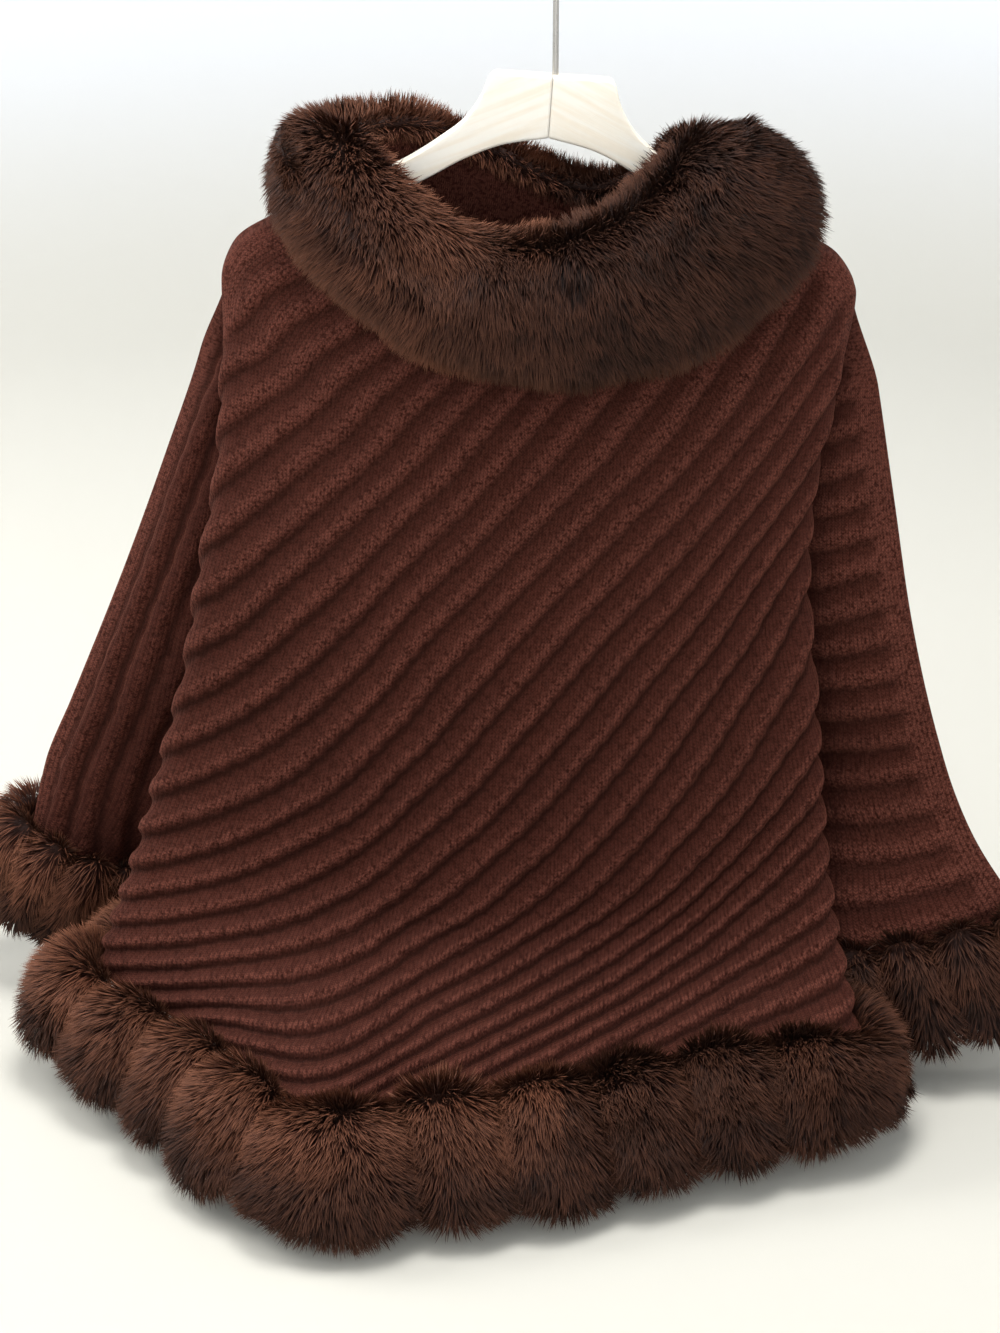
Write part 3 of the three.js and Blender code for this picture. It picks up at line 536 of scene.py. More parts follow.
@dataclass
class SleeveSurface(Surface):
    """One layer of a sleeve: u runs from the inner seam to the overarm seam, v from shoulder to cuff."""

    sleeve: Sleeve
    side: Side

    def __post_init__(self) -> None:
        """Works out which way the normals point outwards."""
        self.outward = float(self.sleeve.hand * self.side.value)

    def points(self, u: Array, v: Array) -> Array:
        """A straight line from the inner edge to the outer, bowed out by the sleeve's fullness."""
        u, v = np.broadcast_arrays(u, v)
        sleeve = self.sleeve
        joins = sleeve.table.read("seam", v)
        inner = sleeve.seam.point(joins)
        tucked = 1.0 - ease(0.0, 0.12, v)
        behind = sleeve.reach_in * ease(0.72, 0.97, v)
        inner[..., 0] += sleeve.hand * (BESIDE_BODY - sleeve.tuck * tucked - behind)
        inner += sleeve.table.point(v, "off")
        outer = sleeve.table.point(v, "out")
        outer[..., 0] -= sleeve.hand * sleeve.tuck * tucked
        share = np.clip(u, 0.0, 1.0)
        gap = lerp(side_gap(joins) + SLEEVE_EXTRA, WALL / 2.0 + SEAM_GAP, share)
        points = lerp(inner, outer, u[..., None])
        bow = np.maximum(np.sin(np.pi * share), 0.0) ** 0.8
        points[..., 1] += self.side.value * (gap + sleeve.table.read("full", v) * bow)
        return points


LEFT_SLEEVE = Sleeve(SLEEVE_LEFT, SEAM_LEFT, -1.0, 16.0)
RIGHT_SLEEVE = Sleeve(SLEEVE_RIGHT, SEAM_RIGHT, 1.0, 28.0)


# ---------------------------------------------------------------- knitted pieces


def rib_shape(phase: Array) -> Array:
    """A ridge on flat cloth: a slow smooth rise times a fast smooth fall."""
    place = phase - np.floor(phase)
    return ease(0.12, 0.64, place) * (1.0 - ease(0.76, 1.0, place))


def cord_shape(phase: Array) -> Array:
    """A narrow round cord on flat cloth: the root of 1 less the square of the place across it."""
    across = (phase - np.floor(phase) - 0.5) / 0.3
    return np.sqrt(np.clip(1.0 - across**2, 0.0, 1.0))


RIB_STAGGER = 0.37  # how far each rib's steps lie on from those of the rib before it, in steps


@dataclass(frozen=True)
class RibSizes:
    """Sizes of the ribs, in millimetres."""

    height: float = 3.8
    pitch: float = 21.5
    step: float = 11.0  # length of one short step along a rib
    step_shift: float = 0.022  # how far a step shifts sideways, as a share of the pitch
    bead: float = 0.12  # how far the rib sinks between steps, as a share of its height
    contrast: float = 1.0  # how dark the painted shade in the valleys is, and how strong the painted highlight on the crests
    sway: float = 1.1  # how far the whole wall sways in and out
    shape: Callable[[Array], Array] = rib_shape


@dataclass
class KnitPanel:
    """A wall of ribbed knit: a fine ribbed face outside and a plain face inside, closed at its edges."""

    node: str
    surface: Surface
    rows: Array
    columns: Array
    phase: Field
    along: Field
    fade: Field
    flat: tuple[float, float]
    area: float
    across: float
    seed: int
    ribs: RibSizes = RibSizes()
    coarse: int = 4

    def relief(self, u: Array, v: Array, middle: Array, noise: Noise) -> tuple[Array, Array]:
        """Works out the ribs: their count drifts and shifts by short steps, their height is uneven.

        Args:
            u: places across the panel.
            v: places down it.
            middle: the middle surface there.
            noise: the panel's unevenness.

        Returns:
            The ribs' height, and for each point its rib count, its steps along the rib and how strong its
            painted shade and highlight are.
        """
        ribs = self.ribs
        fade, phase = self.fade(u, v), self.phase(u, v)
        steps = self.along(u, v) / ribs.step
        stair = np.tanh(2.5 * np.sin(2.0 * np.pi * (steps + RIB_STAGGER * np.round(phase))))
        drift = 0.1 * noise.at(middle, 40.0) + 0.025 * noise.at(middle + 200.0, 11.0)
        wavy = phase + (ribs.step_shift * stair + drift) * fade
        step = 2.0 * np.pi * (steps + RIB_STAGGER * np.floor(wavy))
        calm = 1.0 - 0.7 * ease(0.25, 0.7, v)
        bead = 1.0 - ribs.bead * calm * (0.5 + 0.5 * np.cos(step)) ** 4
        uneven = 1.0 + 0.16 * noise.at(middle + 500.0, 45.0)
        height = ribs.height * ribs.shape(wavy) * bead * uneven * fade
        # the third number is how strong the painted shade in the valleys and highlight on the crests are
        return height, np.stack([wavy, steps, fade * ribs.contrast], axis=-1)

    def build(self) -> bpy.types.Object:
        """Makes the panel.

        The outer face is the middle surface moved out by half the wall and the ribs' height; the inner
        face has every fourth point, moved in by half the wall; strips of many-sided faces join them.

        Returns:
            The panel's object.
        """
        u, v = np.meshgrid(self.columns, self.rows, indexing="ij")
        noise = Noise(self.seed)
        middle = self.surface.points(u, v)
        normals = self.surface.normals(u, v)
        relief, marks = self.relief(u, v, middle, noise)
        edge = np.minimum.reduce([ease(0.0, 0.06, v), ease(0.0, 0.04, 1.0 - v)])
        sway = self.ribs.sway * noise.at(middle + 900.0, 70.0) * self.fade(u, v) * edge
        outer = middle + normals * (WALL / 2.0 + relief + sway)[..., None]
        inner = middle + normals * (sway - WALL / 2.0)[..., None]
        k = self.coarse
        parts = MeshParts()
        uv = np.stack([u * self.across, v * self.flat[1]], axis=-1)
        flip = self.surface.outward < 0
        first = parts.add_points(outer * MM, uv, normals)
        parts.add_grid(first, *u.shape, (False, False), flip)
        coarse = inner[::k, ::k]
        back = parts.add_points(coarse * MM, uv[::k, ::k], -normals[::k, ::k])
        parts.add_grid(back, *coarse.shape[:2], (False, False), not flip)
        self.close_edges(parts, u.shape, coarse.shape[:2], back, flip)
        piece = parts.build(f"{self.node}_knit")
        self.add_ribs(piece, np.concatenate([marks.reshape(-1, 3), np.zeros((coarse[..., 0].size, 3))]))
        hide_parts(self.node)
        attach(piece, BODY)
        LOG.info("%s: %d faces", piece.name, len(piece.data.polygons))
        return piece

    def close_edges(
        self, parts: MeshParts, fine: tuple[int, int], coarse: tuple[int, int], back: int, flip: bool
    ) -> None:
        """Joins the two faces along their four edges: each coarse step meets its fine steps in one face.

        Args:
            parts: the mesh to add to.
            fine: rows and columns of the outer face, whose vertices come first.
            coarse: rows and columns of the inner face.
            back: the inner face's first vertex.
            flip: whether the outer face was turned over.
        """
        k = self.coarse
        outer = np.arange(fine[0] * fine[1]).reshape(fine)
        inner = np.arange(coarse[0] * coarse[1]).reshape(coarse) + back
        edges = [
            (outer[0], inner[0], True),
            (outer[-1], inner[-1], False),
            (outer[:, 0], inner[:, 0], False),
            (outer[:, -1], inner[:, -1], True),
        ]
        for fine_edge, coarse_edge, turned in edges:
            starts = np.arange(len(coarse_edge) - 1)
            steps = fine_edge[starts[:, None] * k + np.arange(k + 1)[None, :]]
            corners = np.stack([coarse_edge[starts + 1], coarse_edge[starts]], axis=1)
            faces = np.concatenate([corners, steps], axis=1)
            parts.add_faces(faces if turned != flip else faces[:, ::-1])

    @staticmethod
    def add_ribs(piece: bpy.types.Object, ribs: Array) -> None:
        """Stores each point's rib count, its steps along the rib and how strong its painted shade and
        highlight are.
        """
        layer = piece.data.attributes.new("ribs", "FLOAT_VECTOR", "POINT")
        layer.data.foreach_set("vector", ribs.astype(np.float32).ravel())


def body_panel(side: Side, node: str, columns: int, rows: int, seed: int) -> KnitPanel:
    """Describes the front or the back of the body.

    Args:
        side: front or back.
        node: the solid that it stands for.
        columns: steps across the panel, a multiple of four.
        rows: steps down the ribs, a multiple of four.
        seed: of its unevenness.

    Returns:
        The panel, ready to build.
    """
    surface = BodySurface(side)
    turn = 1.0 if side is Side.FRONT else -1.0

    def phase(u: Array, v: Array) -> Array:
        """Ribs counted down the cloth: a parabola through the left, middle and right counts."""
        w = u / FOLD_AT * turn
        left, middle, right = (RIB_COUNT.read(key, v) for key in ("left", "middle", "right"))
        return middle + w * (right - left) / 2.0 + w * w * ((right + left) / 2.0 - middle)

    def along(u: Array, v: Array) -> Array:
        """Distance along the ribs, which rise at about 45 degrees."""
        points = surface.points(u, v)
        return 0.7 * (points[..., 0] * turn + 0.8 * points[..., 2] - 0.35 * points[..., 1])

    def fade(u: Array, v: Array) -> Array:
        """Ribs run on round the folds, die away down the sides and under the collar, and grow downwards."""
        low = ease(0.24, 0.34, v)
        beside = 1.0 - ease(lerp(0.8, 0.885, low), lerp(0.86, 0.93, low), np.abs(u))
        yoke = lerp(0.1, 0.2, np.abs(u) ** 4)
        return beside * ease(yoke, yoke + 0.03, v) * lerp(0.62, 1.0, ease(0.25, 0.6, v))

    yoke_rows, yoke = 24, 0.13
    under_collar = np.linspace(0.0, yoke, yoke_rows, endpoint=False)
    v = np.concatenate([under_collar, np.linspace(yoke, 1.0, rows - yoke_rows + 1)])
    u = np.linspace(-1.0, 1.0, columns + 1)
    flat, area = ((0.56, 0.6), 0.29) if side is Side.FRONT else ((0.47, 0.53), 0.23)
    return KnitPanel(node, surface, v, u, phase, along, fade, flat, area, flat[0] / 2.0, seed)


CORDS = RibSizes(
    height=5.0, pitch=18.5, step=23.0, step_shift=0.02, bead=0.1, contrast=0.9, shape=cord_shape
)
SLEEVE_RIBS = RibSizes(height=2.6, contrast=0.6)


def sleeve_panel(sleeve: Sleeve, side: Side, lengthwise: bool, node: str, seed: int) -> KnitPanel:
    """Describes one layer of a sleeve.

    Args:
        sleeve: the sleeve.
        side: front or back layer.
        lengthwise: cords along the sleeve, counted from its overarm seam, or else ribs across it.
        node: the solid that it stands for.
        seed: of its unevenness.

    Returns:
        The panel, ready to build.
    """
    surface = SleeveSurface(sleeve, side)
    ribs = CORDS if lengthwise else SLEEVE_RIBS
    band = 11.0  # the plain band beside the overarm seam
    slope = math.radians(18.0)

    def from_edge(u: Array, v: Array, edge: float) -> Array:
        """Distance from one long edge of the layer."""
        return np.linalg.norm(surface.points(u, v) - surface.points(np.full_like(u, edge), v), axis=-1)

    def count_along(u: Array, v: Array) -> Array:
        """Ribs counted inwards from the plain band."""
        return (from_edge(u, v, 1.0) - band) / ribs.pitch

    def fade_along(u: Array, v: Array) -> Array:
        """Ribs die away at the plain band and at the inner edge."""
        return ease(band - 4.5, band + 4.5, from_edge(u, v, 1.0)) * ease(0.0, 9.0, from_edge(u, v, 0.0))

    def down(u: Array, v: Array) -> Array:
        """Distance down the sleeve."""
        return -surface.points(u, v)[..., 2] * 1.1

    def count_across(u: Array, v: Array) -> Array:
        """Ribs counted down the sleeve, each rising outwards."""
        points = surface.points(u, v)
        rising = sleeve.hand * points[..., 0] * math.sin(slope)
        return (-points[..., 2] * math.cos(slope) + rising) / ribs.pitch

    def outwards(u: Array, v: Array) -> Array:
        """Distance across the sleeve."""
        return from_edge(u, v, 0.0)

    def fade_across(u: Array, v: Array) -> Array:
        """Ribs die away at both long edges and at the shoulder."""
        inner = ease(2.0, 11.0, from_edge(u, v, 0.0))
        return inner * ease(9.0, 22.0, from_edge(u, v, 1.0)) * ease(0.0, 0.04, v)

    ways = (count_along, down, fade_along) if lengthwise else (count_across, outwards, fade_across)
    u = np.linspace(0.0, 1.0, 65 if lengthwise else 53)
    v = np.linspace(0.0, 1.0, 213)
    return KnitPanel(node, surface, v, u, *ways, (0.1, 0.43), 0.028, 0.08, seed, ribs)


# ---------------------------------------------------------------- fur


BODY_TONE = (0.4, 0.3)  # tone and place along a strand that colour the closed body under the strands
LIT_HALF_ENDS = (-0.27, 0.06)  # mm from the middle, between which the fur's painted lighter left half, on the key light's side, ends


@dataclass(frozen=True)
class FurSizes:
    """How a fur is made up; lengths in millimetres."""

    strands: int
    length: float
    width: float = 0.85
    tuft: float = 4.2  # how wide the small tufts are
    tress: float = 14.0  # how wide the large ones are
    tuft_pull: float = 0.2
    tress_pull: float = 0.12
    droop: float = 0.12
    unruly: float = 0.17  # how far strands vary in direction and length
    tuft_unruly: float = 0.16
    seed: int = 1


@dataclass
class Skin:
    """The skin that a fur grows from, as grids over its length and round its section."""

    points: Array
    normals: Array
    comb: Array
    density: Array
    length: Array
    lift: Array
    # painted light and shade: how much lighter each place's strands are coloured
    bright: Array
    outside: Array
    closed: tuple[bool, bool]

    def cells(self) -> Array:
        """How much fur each cell carries: its area times its density."""
        nexts = [np.roll(self.points, -1, axis) - self.points for axis in (0, 1)]
        area = np.linalg.norm(np.cross(nexts[0], nexts[1]), axis=-1) * self.density
        if not self.closed[0]:
            area[-1] = 0.0
        if not self.closed[1]:
            area[:, -1] = 0.0
        return area.ravel()

    def sample(self, grid: Array, cell: Array, share: Array) -> Array:
        """Reads a grid inside cells, as the blend of each cell's four corners.

        Args:
            grid: one of the skin's grids.
            cell: cell numbers.
            share: how far along and across its cell each place lies.

        Returns:
            The grid's values there.
        """
        rows, columns = self.points.shape[:2]
        i, j = np.divmod(cell, columns)
        i2, j2 = (i + 1) % rows, (j + 1) % columns
        s, t = share[:, 0], share[:, 1]
        if grid.ndim == 3:
            s, t = s[:, None], t[:, None]
        near = lerp(grid[i, j], grid[i2, j], s)
        far = lerp(grid[i, j2], grid[i2, j2], s)
        return lerp(near, far, t)


@dataclass
class Strands:
    """The lines that strands follow, with the skin's normal, the way out of the cloth and the painted light
    and shade.
    """

    root: Array
    middle: Array
    tip: Array
    normal: Array
    outside: Array
    # painted light and shade: how much lighter the strand is coloured
    bright: Array


def nearest(places: Array, targets: Array) -> Array:
    """The number of the target nearest to each place, worked out in blocks."""
    block = 4096
    targets = targets.astype(np.float32)
    squares = (targets**2).sum(axis=1)
    found = []
    for start in range(0, len(places), block):
        some = places[start : start + block].astype(np.float32)
        found.append(np.argmin(squares[None, :] - 2.0 * some @ targets.T, axis=1))
    return np.concatenate(found)


@dataclass
class Fur:
    """Fur on a skin: tapered strands, gathered into tufts, over a dark closed body."""

    node: str
    skin: Skin
    sizes: FurSizes
    floor: float

    def grow(self, rng: np.random.Generator, count: int, unruly: float) -> Strands:
        """Grows strands at random places of the skin.

        A strand leaves its root between the skin's normal and the way that it is combed, bends over
        towards the combing, and hangs a little.

        Args:
            rng: the random draws.
            count: how many.
            unruly: how far their directions and lengths vary.

        Returns:
            The strands.
        """
        skin = self.skin
        weights = skin.cells()
        cell = rng.choice(len(weights), size=count, p=weights / weights.sum())
        share = rng.random((count, 2))
        root = skin.sample(skin.points, cell, share)
        normal = unit(skin.sample(skin.normals, cell, share))
        comb = skin.sample(skin.comb, cell, share)
        lift = skin.sample(skin.lift, cell, share)[:, None]
        length = skin.sample(skin.length, cell, share)[:, None] * self.sizes.length
        swirl = Noise(self.sizes.seed + 7)
        sway = np.stack([swirl.at(root + 300.0 * k, 26.0) for k in range(3)], axis=-1)
        stray = rng.normal(0.0, 1.0, (count, 3)) * unruly
        start = unit(normal * lift + comb * (1.0 - lift) + 0.22 * sway + 0.5 * stray)
        fall = np.array([0.0, 0.0, -self.sizes.droop])
        finish = unit(start + comb * 0.35 + 0.15 * sway + stray + fall)
        length = length * (1.0 + 0.9 * unruly * rng.uniform(-1.0, 0.6, (count, 1)))
        middle = root + start * length * 0.5
        outside = skin.sample(skin.outside, cell, share)
        bright = np.clip(skin.sample(skin.bright, cell, share), 0.0, 1.0)
        return Strands(root - normal * 0.8, middle, middle + finish * length * 0.5, normal, outside, bright)

    def gather(self, strands: Strands, rng: np.random.Generator, size: float, pull: float) -> Array:
        """Pulls strands towards the nearest of the tufts' own lines.

        Args:
            strands: the strands, changed in place.
            rng: the random draws.
            size: how wide the tufts are, in millimetres.
            pull: how far the tips go towards the tuft's tip.

        Returns:
            The number of each strand's tuft.
        """
        count = max(8, int(self.skin.cells().sum() / size**2))
        tufts = self.grow(rng, count, self.sizes.tuft_unruly)
        chosen = nearest(strands.root, tufts.root)
        middle = tufts.middle[chosen] - tufts.root[chosen] + strands.root
        strands.middle = lerp(strands.middle, lerp(middle, tufts.middle[chosen], 0.35), 0.6 * pull)
        strands.tip = lerp(strands.tip, tufts.tip[chosen], pull)
        return chosen

    def kites(self, strands: Strands, rng: np.random.Generator) -> tuple[Array, Array]:
        """Turns strands into kites, each bent at its widest place.

        A kite's front looks out of the skin and of the cloth. It is shaded mostly with the skin's
        normal, so that it takes light as part of the pelt.

        Args:
            strands: the strands.
            rng: the random draws.

        Returns:
            The kites' corners and their shading normals, four for each strand.
        """
        count = self.sizes.strands
        way = unit(strands.tip - strands.root)
        across = unit(np.cross(way, strands.normal))
        roll = rng.normal(0.0, 0.5, (count, 1))
        across = across * np.cos(roll) + np.cross(across, way) * np.sin(roll)
        outwards = strands.normal + 0.7 * strands.outside
        front = (np.cross(across, way) * outwards).sum(axis=-1, keepdims=True)
        across = across * np.where(front < 0.0, -1.0, 1.0)
        half = across * self.sizes.width * rng.uniform(0.35, 0.65, (count, 1))
        corners = [strands.root, strands.middle + half, strands.middle - half, strands.tip]
        face = unit(np.cross(across, way))
        shade = 0.5 * face + 1.3 * strands.normal + rng.normal(0.0, 0.16, (count, 3))
        bulge = np.array([0.0, 0.4, -0.4, 0.0])[None, :, None] * across[:, None, :]
        return np.stack(corners, axis=1), unit(unit(shade)[:, None, :] + bulge)

    def tones(self, strands: Strands, groups: tuple[Array, Array], rng: np.random.Generator) -> Array:
        """Gives each strand a tone: its tress's, its tuft's and its own, at random, and the skin's painted
        light and shade.

        The skin's painted light counts for more on the left half, which the key light comes from.

        Args:
            strands: the strands.
            groups: the numbers of their tresses and of their tufts.
            rng: the random draws.

        Returns:
            One tone for each strand, from 0 to about 1.
        """
        tress, tuft = (rng.random(int(group.max()) + 1)[group] for group in groups)
        tone = 0.16 * tress + 0.13 * tuft + 0.16 * rng.random(self.sizes.strands)
        # painted light: the left half, on the key light's side, is lighter
        lit_half = 1.0 - ease(*LIT_HALF_ENDS, strands.root[:, 0])
        return tone + 0.55 * strands.bright * lerp(0.35, 1.35, lit_half)

    def build(self) -> bpy.types.Object:
        """Makes the fur: a closed dark body, and two triangles for each strand.

        Returns:
            The fur's object.
        """
        sizes = self.sizes
        rng = np.random.default_rng(sizes.seed)
        strands = self.grow(rng, sizes.strands, sizes.unruly)
        tress = self.gather(strands, rng, sizes.tress, sizes.tress_pull)
        tuft = self.gather(strands, rng, sizes.tuft, sizes.tuft_pull)
        lowest = self.floor + rng.uniform(0.2, 2.0, sizes.strands)
        for line in (strands.middle, strands.tip):
            line[:, 2] = np.maximum(line[:, 2], lowest)
        points, shade = self.kites(strands, rng)
        tone = self.tones(strands, (tress, tuft), rng)
        along = np.array([0.0, 0.5, 0.5, 1.0])
        uv = np.stack(np.broadcast_arrays(tone[:, None], along[None, :]), axis=-1)
        parts = MeshParts()
        body_uv = np.broadcast_to(BODY_TONE, (*self.skin.points.shape[:2], 2))
        parts.add_roll(self.skin.points * MM, body_uv, self.skin.closed[0])
        first = parts.add_points(points * MM, uv, shade)
        starts = first + 4 * np.arange(sizes.strands)[:, None]
        parts.add_faces(starts + np.array([[0, 1, 2]]))
        parts.add_faces(starts + np.array([[2, 1, 3]]))
        piece = parts.build(self.node.replace("fur", "pelt"), smooth_normals=True)
        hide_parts(self.node)
        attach(piece, BODY)
        LOG.info("%s: %d faces", piece.name, len(piece.data.polygons))
        return piece


def rounded_rings(rings: Array, count: int) -> Array:
    """Closed sections redrawn with more points, as smooth curves through their own points.

    Between two points the curve is a cubic whose end slopes are half the step between its neighbours.

    Args:
        rings: sections, n by k by 3.
        count: new points to each old one.

    Returns:
        The sections, n by k times count by 3.
    """
    t = (np.arange(count) / count)[None, None, :, None]
    before, here, after, last = (np.roll(rings, shift, axis=1)[:, :, None, :] for shift in (1, 0, -1, -2))
    slope_a, slope_b = (after - before) / 2.0, (last - here) / 2.0
    rise = after - here
    cubic = slope_a + slope_b - 2.0 * rise
    curve = here + t * (slope_a + t * (3.0 * rise - 2.0 * slope_a - slope_b + t * cubic))
    return curve.reshape(len(rings), -1, 3)


def smooth_along(values: Array, width: float, closed: bool) -> Array:
    """Values blurred along their first axis by a bell curve "width" steps wide.

    Args:
        values: rows of numbers.
        width: of the bell, in rows.
        closed: whether the rows join up with themselves.

    Returns:
        The blurred rows.
    """
    reach = int(3 * width)
    offsets = np.arange(-reach, reach + 1)
    weights = np.exp(-((offsets / width) ** 2) / 2.0)
    weights /= weights.sum()
    rows = np.arange(len(values))[:, None] + offsets[None, :]
    rows = rows % len(values) if closed else np.clip(rows, 0, len(values) - 1)
    return np.tensordot(values[rows], weights, axes=([1], [0]))


def combed(form: Array, closed: tuple[bool, bool], along: Array, around: Array) -> Array:
    """Combing directions: shares of the way along the roll and of the way round its section.

    Args:
        form: the roll's grid of points.
        closed: whether its rows and columns join up.
        along: share of the way along, for each point.
        around: share of the way round, for each point.

    Returns:
        One unit vector for each point.
    """
    onwards, round_it = (unit(step) for step in grid_steps(form, closed))
    return unit(onwards * along[..., None] + round_it * around[..., None])


COLLAR_SECTION = (
    (4, -7), (13, -4), (17, 8), (13, 26), (-2, 40), (-24, 47), (-48, 45), (-66, 35), (-74, 18),
    (-70, 3), (-46, 0), (-18, 0), (1.5, 0), (1.5, -5),
)
# shares of the fur's height round the section, whose points count from 0 at the inner lip, over the
# outside to 8, and up again beside the cloth
COLLAR_HEIGHT = Table(
    "at share",
    (0, 0.9), (1, 0.9), (3, 1), (8, 1), (9, 0.3), (9.4, 0), (11.6, 0), (12.2, 0.6), (13, 0.9), (14, 0.9),
)
COLLAR_ROOM = Table("at share", (0, 0.2), (1, 0.3), (2.6, 1), (12, 1), (13, 0.2), (14, 0.2))
ON_BACK = 9.0  # stands for the place u at the back, far from each place on the front


@dataclass
class CollarFur:
    """The collar: a thick ring of fur outside the neck, parted along a crease on its front."""

    floor: float
    stations: int = 96
    per_point: int = 6
    reach: float = 0.985
    inset: float = 9.5
    clear: float = 1.0
    clear_at_seams: float = 1.2
    shorter_at_side: float = 0.12
    shorter_at_right: float = 0.38
    thinner_at_right: float = 0.1
    rise_at_seams: float = 0.2
    rise_at_back: float = 0.65
    over_edge: float = 1.5
    lean_at_right: float = 14.0
    fullest_out: float = 47.0
    parting: float = 2.6  # the section's point where the fur parts
    parting_at_left: float = 4.5
    crease_deep: float = 5.0
    pocket_deep: float = 7.0

    def section(self, surface: BodySurface, u: Array) -> Array:
        """The collar's sections at places along the front's or the back's neck edge.

        Each section point is a point of the cloth moved out along its normal, or, above the neck edge,
        also up along the cloth's own direction; at the right the roll slides down the shoulder.

        Args:
            surface: the front or the back.
            u: the places.

        Returns:
            One section for each place.
        """
        zero = np.zeros_like(u)
        edge = surface.points(u, zero)
        down = surface.points(u, zero + 0.02) - edge
        per_share = np.linalg.norm(down, axis=-1) / 0.02
        down = unit(down)
        right = np.maximum(0.0, u)
        long = 1.0 - self.shorter_at_side * np.abs(u) ** 3 - self.shorter_at_right * right**3
        thick = 1.0 - self.thinner_at_right * right**3
        clear = WALL / 2.0 + lerp(self.clear, self.clear_at_seams, u**4)
        inside = lerp(1.0, self.rise_at_seams, u**4)
        rise = lerp(self.rise_at_back if surface.side is Side.BACK else 1.0, self.rise_at_seams, u**4)
        lean = self.lean_at_right * right**4 / self.fullest_out
        rings = []
        for up, out in COLLAR_SECTION:
            straight = self.over_edge + (up - self.over_edge) * rise if up > 0 else up * long
            above = straight - lean * max(0.0, out)
            v = np.maximum(0.0, -above / per_share)
            offset = (clear + out * (inside if out < 0 else thick))[:, None]
            point = surface.points(u, v) + surface.normals(u, v) * offset
            rings.append(point - down * np.maximum(above, 0.0)[:, None])
        return np.stack(rings, axis=1)

    def skin(self) -> Skin:
        """Lays out the skin, with the fur combed down below the parting and up or along above it.

        The parting is lowest at the left front, where it runs along a crease with a pocket beside it.

        Returns:
            The skin.
        """
        u = np.linspace(-self.reach, self.reach, self.stations)
        front, back = (self.section(BodySurface(side), at) for side, at in zip(Side, (u, u[::-1])))
        form = rounded_rings(smooth_along(np.concatenate([front, back]), 2.6, True), self.per_point)
        closed = (True, True)
        k = (np.arange(form.shape[1]) / self.per_point)[None, :]
        place = np.concatenate([u, np.full(self.stations, ON_BACK)])[:, None]
        left = bell(place, -0.5, 0.42)
        below = (k - lerp(self.parting, self.parting_at_left, left)) / 0.7
        crease = bell(below, 0.0, 1.0) * left
        pocket = bell(place, -0.74, 0.13) * bell(k, 3.6, 0.9)
        over = left * (0.5 - 0.5 * np.tanh(below)) * ease(0.8, 2.0, k)
        around = np.where(k > 12.0, -lerp(0.2, 1.0, ease(12.2, 13.6, k)), 2.0 * ease(0.2, 3.2, k) - 1.0)
        around = around * (1.0 - 0.75 * over)
        sweep = 0.95 * over
        out = np.broadcast_to(COLLAR_HEIGHT.straight("share", k), form.shape[:2])
        wave = Noise(31).at(form, 40.0)
        lift = 1.0 - 0.62 * np.clip(np.abs(around) + np.abs(sweep), 0.0, 1.0)
        seam = ease(0.55, 1.0, np.abs(np.concatenate([u, u[::-1]])))[:, None]
        room = COLLAR_ROOM.straight("share", k) * (1.0 - 0.6 * seam * (1.0 - ease(5.5, 7.5, k)))
        hollows = self.crease_deep * crease + self.pocket_deep * pocket
        deep = (self.inset * (1.0 + 1.6 * (lift - 0.38)) * out + hollows) * room
        base = form - outer_normals(form, closed)[0] * deep[..., None]
        # painted light: the inner face of the back's roll is made much lighter
        back_painted_light = ease(7.0, 8.0, place) * ease(11.6, 12.6, k) * 1.6
        flat = np.concatenate([form[..., :2], np.zeros_like(form[..., :1])], axis=-1)
        return Skin(
            points=base,
            normals=outer_normals(base, closed)[0],
            comb=combed(form, closed, sweep, around + 1e-3),
            density=out,
            length=(1.0 - 0.15 * crease - 0.35 * pocket) * (1.0 + 0.12 * wave) * (0.45 + 0.55 * room),
            lift=lift + 0.1 * wave,
            # painted light and shade: lighter over the roll's top and inside the back, darker down the front,
            # less so at the left, with random waves
            bright=1.0 - ease(1.0, 4.5, k) * (1.0 - 0.45 * left) + back_painted_light + 0.2 * wave,
            outside=unit(flat),
            closed=closed,
        )

    def build(self) -> bpy.types.Object:
        """Makes the collar."""
        sizes = FurSizes(strands=80000, length=23.0, seed=11)
        return Fur("collar_fur", self.skin(), sizes, self.floor).build()


@dataclass
class Edge:
    """Where a roll of locks runs: edge points, the way on from the cloth and the way out of it."""

    points: Array
    down: Array
    out: Array
    long: Array
    thick: Array
    lock: Array
    closed: bool


